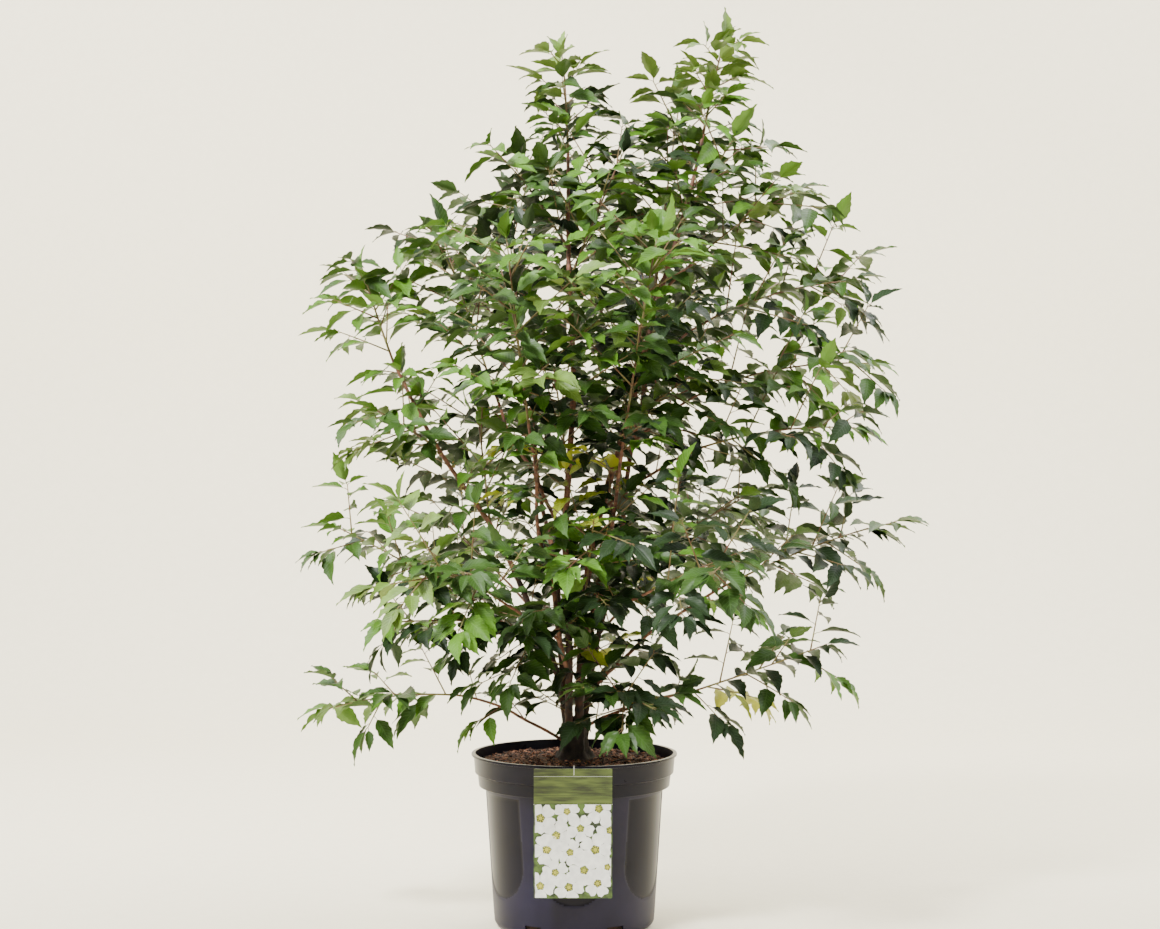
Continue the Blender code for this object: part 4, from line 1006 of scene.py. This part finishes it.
class BuildMix(bpy.types.Operator):
    """The uneven top of the potting mix, strewn with bark chips by Geometry Nodes"""
    bl_idname = "cherry.mix"
    bl_label = "Potting mix"

    def execute(self, context):
        settings = context.scene.cherry_wood
        chips = settings.chips
        soil = finish("potting mix", shade(chips, 0.22), shade(chips, 0.7), (0.85, 1.0),
                      coarse=120, fine=700, bump=1.0, distance=0.002)
        # The mix below the top, seen through the drain notches, is painted far darker than the
        # same mix on top: painted shade inside the pot.
        painted_shade_plug = finish("mix below", shade(chips, 0.03), shade(chips, 0.12), (0.9, 1.0),
                      coarse=150, fine=700, bump=1.0, distance=0.002)
        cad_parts["potting_mix"].data.materials.clear()
        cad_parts["potting_mix"].data.materials.append(painted_shade_plug)
        sides, rings = 120, 60
        verts = []
        for i in range(rings + 1):
            radius = MIX_RADIUS * (1 - i / rings) + 0.0002
            for k in range(sides):
                angle = tau * k / sides
                x, y = radius * cos(angle), radius * sin(angle)
                height = MIX_EDGE + (MIX_TOP - MIX_EDGE) * sin(pi / 2 * min(1, i / rings * 1.1))
                bumps = noise.fractal(Vector((x * 60, y * 60, 1)), 0.9, 2.1, 4) * 0.0022
                verts.append((x, y, height + 0.0012 + (bumps if i else -0.006)))
        pile = Pile()
        pile.add(verts, ring_faces(rings + 1, sides) + [last_ring(rings + 1, sides)])
        top = pile.build("mix_surface", soil)
        ride(top, "bark_mix")
        for number, (tone, seed, share) in enumerate(((0.22, 3, 0.34), (0.8, 8, 0.46),
                                                      (2.2, 15, 0.20))):
            self.strew(top, number, shade(chips, tone), seed, settings.density * share)
        return {"FINISHED"}

    @staticmethod
    def strew(top, number, colour, seed, density):
        """One colour of chips, as realized instances turned to a plain mesh."""
        bark = finish("chips %d" % number, shade(colour, 0.6), shade(colour, 1.3), (0.75, 0.95),
                      coarse=200, fine=900, bump=0.8, distance=0.0008)
        tree = bpy.data.node_groups.new("strew chips", "GeometryNodeTree")
        sockets = {}
        for name, way, kind in (("Geometry", "INPUT", "Geometry"), ("Density", "INPUT", "Float"),
                                ("Radius", "INPUT", "Float"), ("Seed", "INPUT", "Int"),
                                ("Geometry", "OUTPUT", "Geometry")):
            sockets[name] = tree.interface.new_socket(name, in_out=way,
                                                      socket_type="NodeSocket" + kind)
        given = node(tree, "NodeGroupInput")
        points = node(tree, "GeometryNodeDistributePointsOnFaces",
                      {"Mesh": given["Geometry"], "Density": given["Density"],
                       "Seed": given["Seed"]})["Points"]
        chip = node(tree, "GeometryNodeMeshIcoSphere",
                    {"Radius": given["Radius"], "Subdivisions": 1})
        turn, size = (node(tree, "FunctionNodeRandomValue", {0: low, 1: high, "Seed": draw},
                           data_type="FLOAT_VECTOR")[0]
                      for low, high, draw in (
                          ((-0.7, -0.7, 0.0), (0.7, 0.7, tau), seed + 1),
                          ((0.35, 0.25, 0.12), (1.35, 0.85, 0.40), seed + 2)))
        placed = node(tree, "GeometryNodeInstanceOnPoints",
                      {"Points": points, "Instance": chip["Mesh"], "Rotation": turn,
                       "Scale": size})["Instances"]
        real = node(tree, "GeometryNodeRealizeInstances", {"Geometry": placed})["Geometry"]
        painted = node(tree, "GeometryNodeSetMaterial", {"Geometry": real, "Material": bark})
        node(tree, "NodeGroupOutput", {"Geometry": painted["Geometry"]})
        carrier = link(bpy.data.objects.new("chips_%d" % number, top.data.copy()))
        grown = carrier.modifiers.new("strew", "NODES")
        grown.node_group = tree
        for name, value in (("Density", density), ("Radius", CHIP_RADIUS), ("Seed", seed)):
            grown[sockets[name].identifier] = value
        flatten(carrier)
        ride(carrier, "bark_mix")


class BuildLabel(bpy.types.Operator):
    """The picture label: card and hook, planked head, and raised blossoms of a plain design"""
    bl_idname = "cherry.label"
    bl_label = "Label"

    def execute(self, context):
        settings = context.scene.cherry_pot
        front = -(RIM_RADIUS + GAP)
        card = finish("card", (0.62, 0.66, 0.60), (0.78, 0.80, 0.76), (0.25, 0.35), bump=0.03)
        green = finish("leafy ground", (0.008, 0.020, 0.003), (0.070, 0.130, 0.018), (0.3, 0.4),
                       coarse=70, fine=300, bump=0.1, ends=(0.40, 0.60))
        wood = finish("planks", shade(settings.header, 0.45), shade(settings.header, 2.3),
                      (0.3, 0.45), coarse=26, fine=200, stretch=7.0, bump=0.2)
        white = finish("petals", shade(settings.petals, 0.82), settings.petals, (0.3, 0.4),
                       coarse=90, fine=500, bump=0.1)
        heart = finish("flower hearts", (0.20, 0.24, 0.02), (0.52, 0.48, 0.06), (0.4, 0.5),
                       bump=0.2)
        backing = finish("plank seams", (0.010, 0.016, 0.005), (0.030, 0.045, 0.012), (0.4, 0.5),
                         bump=0.05)
        ride(self.layer("label_card", card, front, CARD_THICK, LABEL[1], 0.0),
             "label_card", "picture_label")
        self.hook(card, front)
        face = front - CARD_THICK - 0.00002
        seams = (0.0, 0.012, 0.029, 0.041, LABEL_HEAD)
        planks = [("label_plank_%d" % number, wood, 0.00022, b - 0.0005, a + 0.0002)
                  for number, (a, b) in enumerate(zip(seams, seams[1:]))]
        for layer in (("label_head", backing, 0.00008, LABEL_HEAD, 0.0),
                      ("label_seam", card, 0.00016, 0.0128, 0.0118), *planks,
                      ("label_ground", green, 0.00010, LABEL[1], LABEL_HEAD)):
            name, look, thick, foot, head = layer
            ride(self.layer(name, look, face, thick, foot, head), "label_card")
        self.blossoms(white, heart, face - 0.00012)
        return {"FINISHED"}

    @staticmethod
    def hook(card, front):
        """The strip over the rim that the card hangs from."""
        pile = Pile()
        band = -(UPPER_BAND[0] - BAND_DRAFT - WALL - 2 * GAP)
        top = POT_HEIGHT + GAP
        line = [(front - 0.0009, LABEL_TOP - 0.010), (front - 0.0009, top),
                (front - 0.0004, top + 0.0006), (band, top + 0.0006), (band, POT_HEIGHT - 0.012)]
        tube(pile, [Vector((0, y, z)) for y, z in line], [0.0006] * 5, 8)
        ride(pile.build("label_hook", card), "label_card")

    @staticmethod
    def layer(name, look, back, thick, foot, head):
        """A flat layer of the label between two depths below its top, with softened corners."""
        low = Vector((LABEL_X - LABEL[0] / 2, back - thick, LABEL_TOP - foot))
        high = Vector((LABEL_X + LABEL[0] / 2, back, LABEL_TOP - head))
        size = high - low
        shape = bmesh.new()
        bmesh.ops.create_cube(shape, size=1)
        shape.transform(Matrix.Translation((high + low) / 2) @ Matrix.Diagonal((*size, 1)))
        corners = [e for e in shape.edges
                   if abs((e.verts[0].co - e.verts[1].co).y) > 0.5 * size.y]
        if size.z > 0.1:
            bmesh.ops.bevel(shape, geom=corners, offset=0.002, segments=3, profile=0.5,
                            affect="EDGES")
        mesh = bpy.data.meshes.new(name)
        shape.to_mesh(mesh)
        shape.free()
        mesh.materials.append(look)
        return link(bpy.data.objects.new(name, mesh))

    @staticmethod
    def blossoms(white, heart, face):
        """Five-petalled blossoms in loose slanting rows, each petal a cupped blade."""
        rng = Random(21)
        petals, hearts = Pile(), Pile()
        bottom = LABEL_TOP - LABEL[1]
        half = LABEL[0] / 2 - 0.002
        spots = []
        for row in range(5):
            for column in range(3):
                x = -0.042 + column * 0.040 + (0.018 if row % 2 else -0.004)
                x += rng.uniform(-1, 1) * 0.006
                z = bottom + 0.017 + row * 0.0275 + column * 0.003 + rng.uniform(-1, 1) * 0.005
                spots.append((x, z, rng.uniform(0.0185, 0.0255)))
        rng.shuffle(spots)

        def on_card(x, y, z):
            """A point kept to the card below its head."""
            return (min(half + LABEL_X, max(-half + LABEL_X, x)), y,
                    min(LABEL_TOP - LABEL_HEAD - 0.0005, max(bottom + 0.001, z)))

        for number, (x, z, radius) in enumerate(spots):
            level = face - 0.00008 * (number % 6)
            spin = rng.uniform(0, tau)
            for petal in range(5):
                turn = spin + petal * tau / 5
                blade = []
                for share, wide in PETAL_OUTLINE:
                    along, beside = share * radius, wide * radius * 0.62
                    blade.append(on_card(x + LABEL_X + along * cos(turn) - beside * sin(turn),
                                         level - 0.00035 * share,
                                         z + along * sin(turn) + beside * cos(turn)))
                blade.append(on_card(x + LABEL_X + 0.5 * radius * cos(turn), level - 0.00004,
                                     z + 0.5 * radius * sin(turn)))
                petals.add(blade, fan(len(PETAL_OUTLINE)))
            for dot in range(9):
                turn = dot * tau / 8
                out = 0.0 if dot == 8 else radius * 0.20
                size = radius * (0.13 if dot == 8 else 0.055)
                cx = x + LABEL_X + out * cos(turn)
                cz = z + out * sin(turn)
                if abs(cx - LABEL_X) > half or not bottom + 0.002 < cz < LABEL_TOP - 0.056:
                    continue
                ring = [(cx + size * cos(a), level - 0.00040, cz + size * sin(a))
                        for a in np.linspace(0, tau, 8, endpoint=False)]
                hearts.add(ring + [(cx, level - 0.00060, cz)], fan(8))
        for name, pile, look in (("label_petals", petals, white), ("label_hearts", hearts, heart)):
            ride(pile.build(name, look), "label_card")


class BuildStage(bpy.types.Operator):
    """Pale floor and backdrop, soft studio light and the camera"""
    bl_idname = "cherry.stage"
    bl_label = "Stage"

    def execute(self, context):
        cream = finish("studio paper", (0.94, 0.87, 0.67), (0.96, 0.89, 0.69), (0.85, 0.95),
                       bump=0.0)
        sweep = [(2.2 + 1.2 * sin(a), 1.2 - 1.2 * cos(a)) for a in np.linspace(0, pi / 2, 16)]
        line = [(-6.0, 0.0), *sweep, (3.4, 7.0)]
        pile = Pile()
        pile.add([(x, y, z) for y, z in line for x in (-8.0, 8.0)],
                 [(2 * i, 2 * i + 1, 2 * i + 3, 2 * i + 2) for i in range(len(line) - 1)])
        pile.build("studio_floor", cream)
        world = bpy.data.worlds.new("studio")
        context.scene.world = world
        world.use_nodes = True
        fill(world.node_tree, world.node_tree.nodes["Background"],
             {"Color": (1.0, 0.98, 0.93, 1), "Strength": 0.42})
        for name, place, aim, energy, size in (
                ("key", (-1.5, -2.2, 3.3), (0.05, 0, 0.8), 280, 0.6),
                ("fill", (2.6, -2.4, 1.4), (0.05, 0, 0.7), 14, 2.2),
                ("back", (1.2, 1.6, 3.2), (0.05, 0, 0.9), 80, 1.6),
                ("paper left", (-2.6, 0.6, 3.0), (0.0, 3.4, 1.5), 215, 2.5),
                ("paper right", (2.6, 0.6, 3.0), (0.0, 3.4, 1.5), 215, 2.5)):
            data = bpy.data.lights.new(name, "AREA")
            data.energy = energy
            data.size = size
            lamp = link(bpy.data.objects.new(name, data))
            lamp.location = place
            lamp.rotation_euler = (Vector(aim) - Vector(place)).to_track_quat("-Z", "Y").to_euler()
        data = bpy.data.cameras.new("photo")
        data.lens = LENS
        data.sensor_width = SENSOR
        camera = link(bpy.data.objects.new("photo", data))
        camera.location = EYE
        camera.rotation_euler = (pi / 2, 0, 0)
        context.scene.camera = camera
        return {"FINISHED"}


OPERATORS = (BuildWood, BuildFoliage, BuildDriedClusters, BuildPot, BuildMix, BuildLabel,
             BuildStage)


class CherryPanel(bpy.types.Panel):
    """Lists the pieces of the shrub"""
    bl_idname = "VIEW3D_PT_cherry"
    bl_label = "Cherry shrub"
    bl_space_type = "VIEW_3D"
    bl_region_type = "UI"
    bl_category = "Cherry"

    def draw(self, context):
        for operator in OPERATORS:
            self.layout.operator(operator.bl_idname)
        for settings in (context.scene.cherry_leaves, context.scene.cherry_wood,
                         context.scene.cherry_pot):
            for name in settings.__annotations__:
                self.layout.prop(settings, name)


CLASSES = (LeafSettings, WoodSettings, PotSettings, *OPERATORS, CherryPanel)


def register():
    """Register the classes and their settings on the scene."""
    for item in CLASSES:
        bpy.utils.register_class(item)
    bpy.types.Scene.cherry_leaves = PointerProperty(type=LeafSettings)
    bpy.types.Scene.cherry_wood = PointerProperty(type=WoodSettings)
    bpy.types.Scene.cherry_pot = PointerProperty(type=PotSettings)


def unregister():
    """Take the settings and classes away again."""
    del bpy.types.Scene.cherry_leaves
    del bpy.types.Scene.cherry_wood
    del bpy.types.Scene.cherry_pot
    for item in reversed(CLASSES):
        bpy.utils.unregister_class(item)


def main():
    """Make every piece."""
    register()
    bpy.ops.cherry.stage()
    bpy.ops.cherry.wood()
    bpy.ops.cherry.foliage()
    bpy.ops.cherry.clusters()
    bpy.ops.cherry.pot()
    bpy.ops.cherry.mix()
    bpy.ops.cherry.label()


if __name__ == "__main__":
    main()
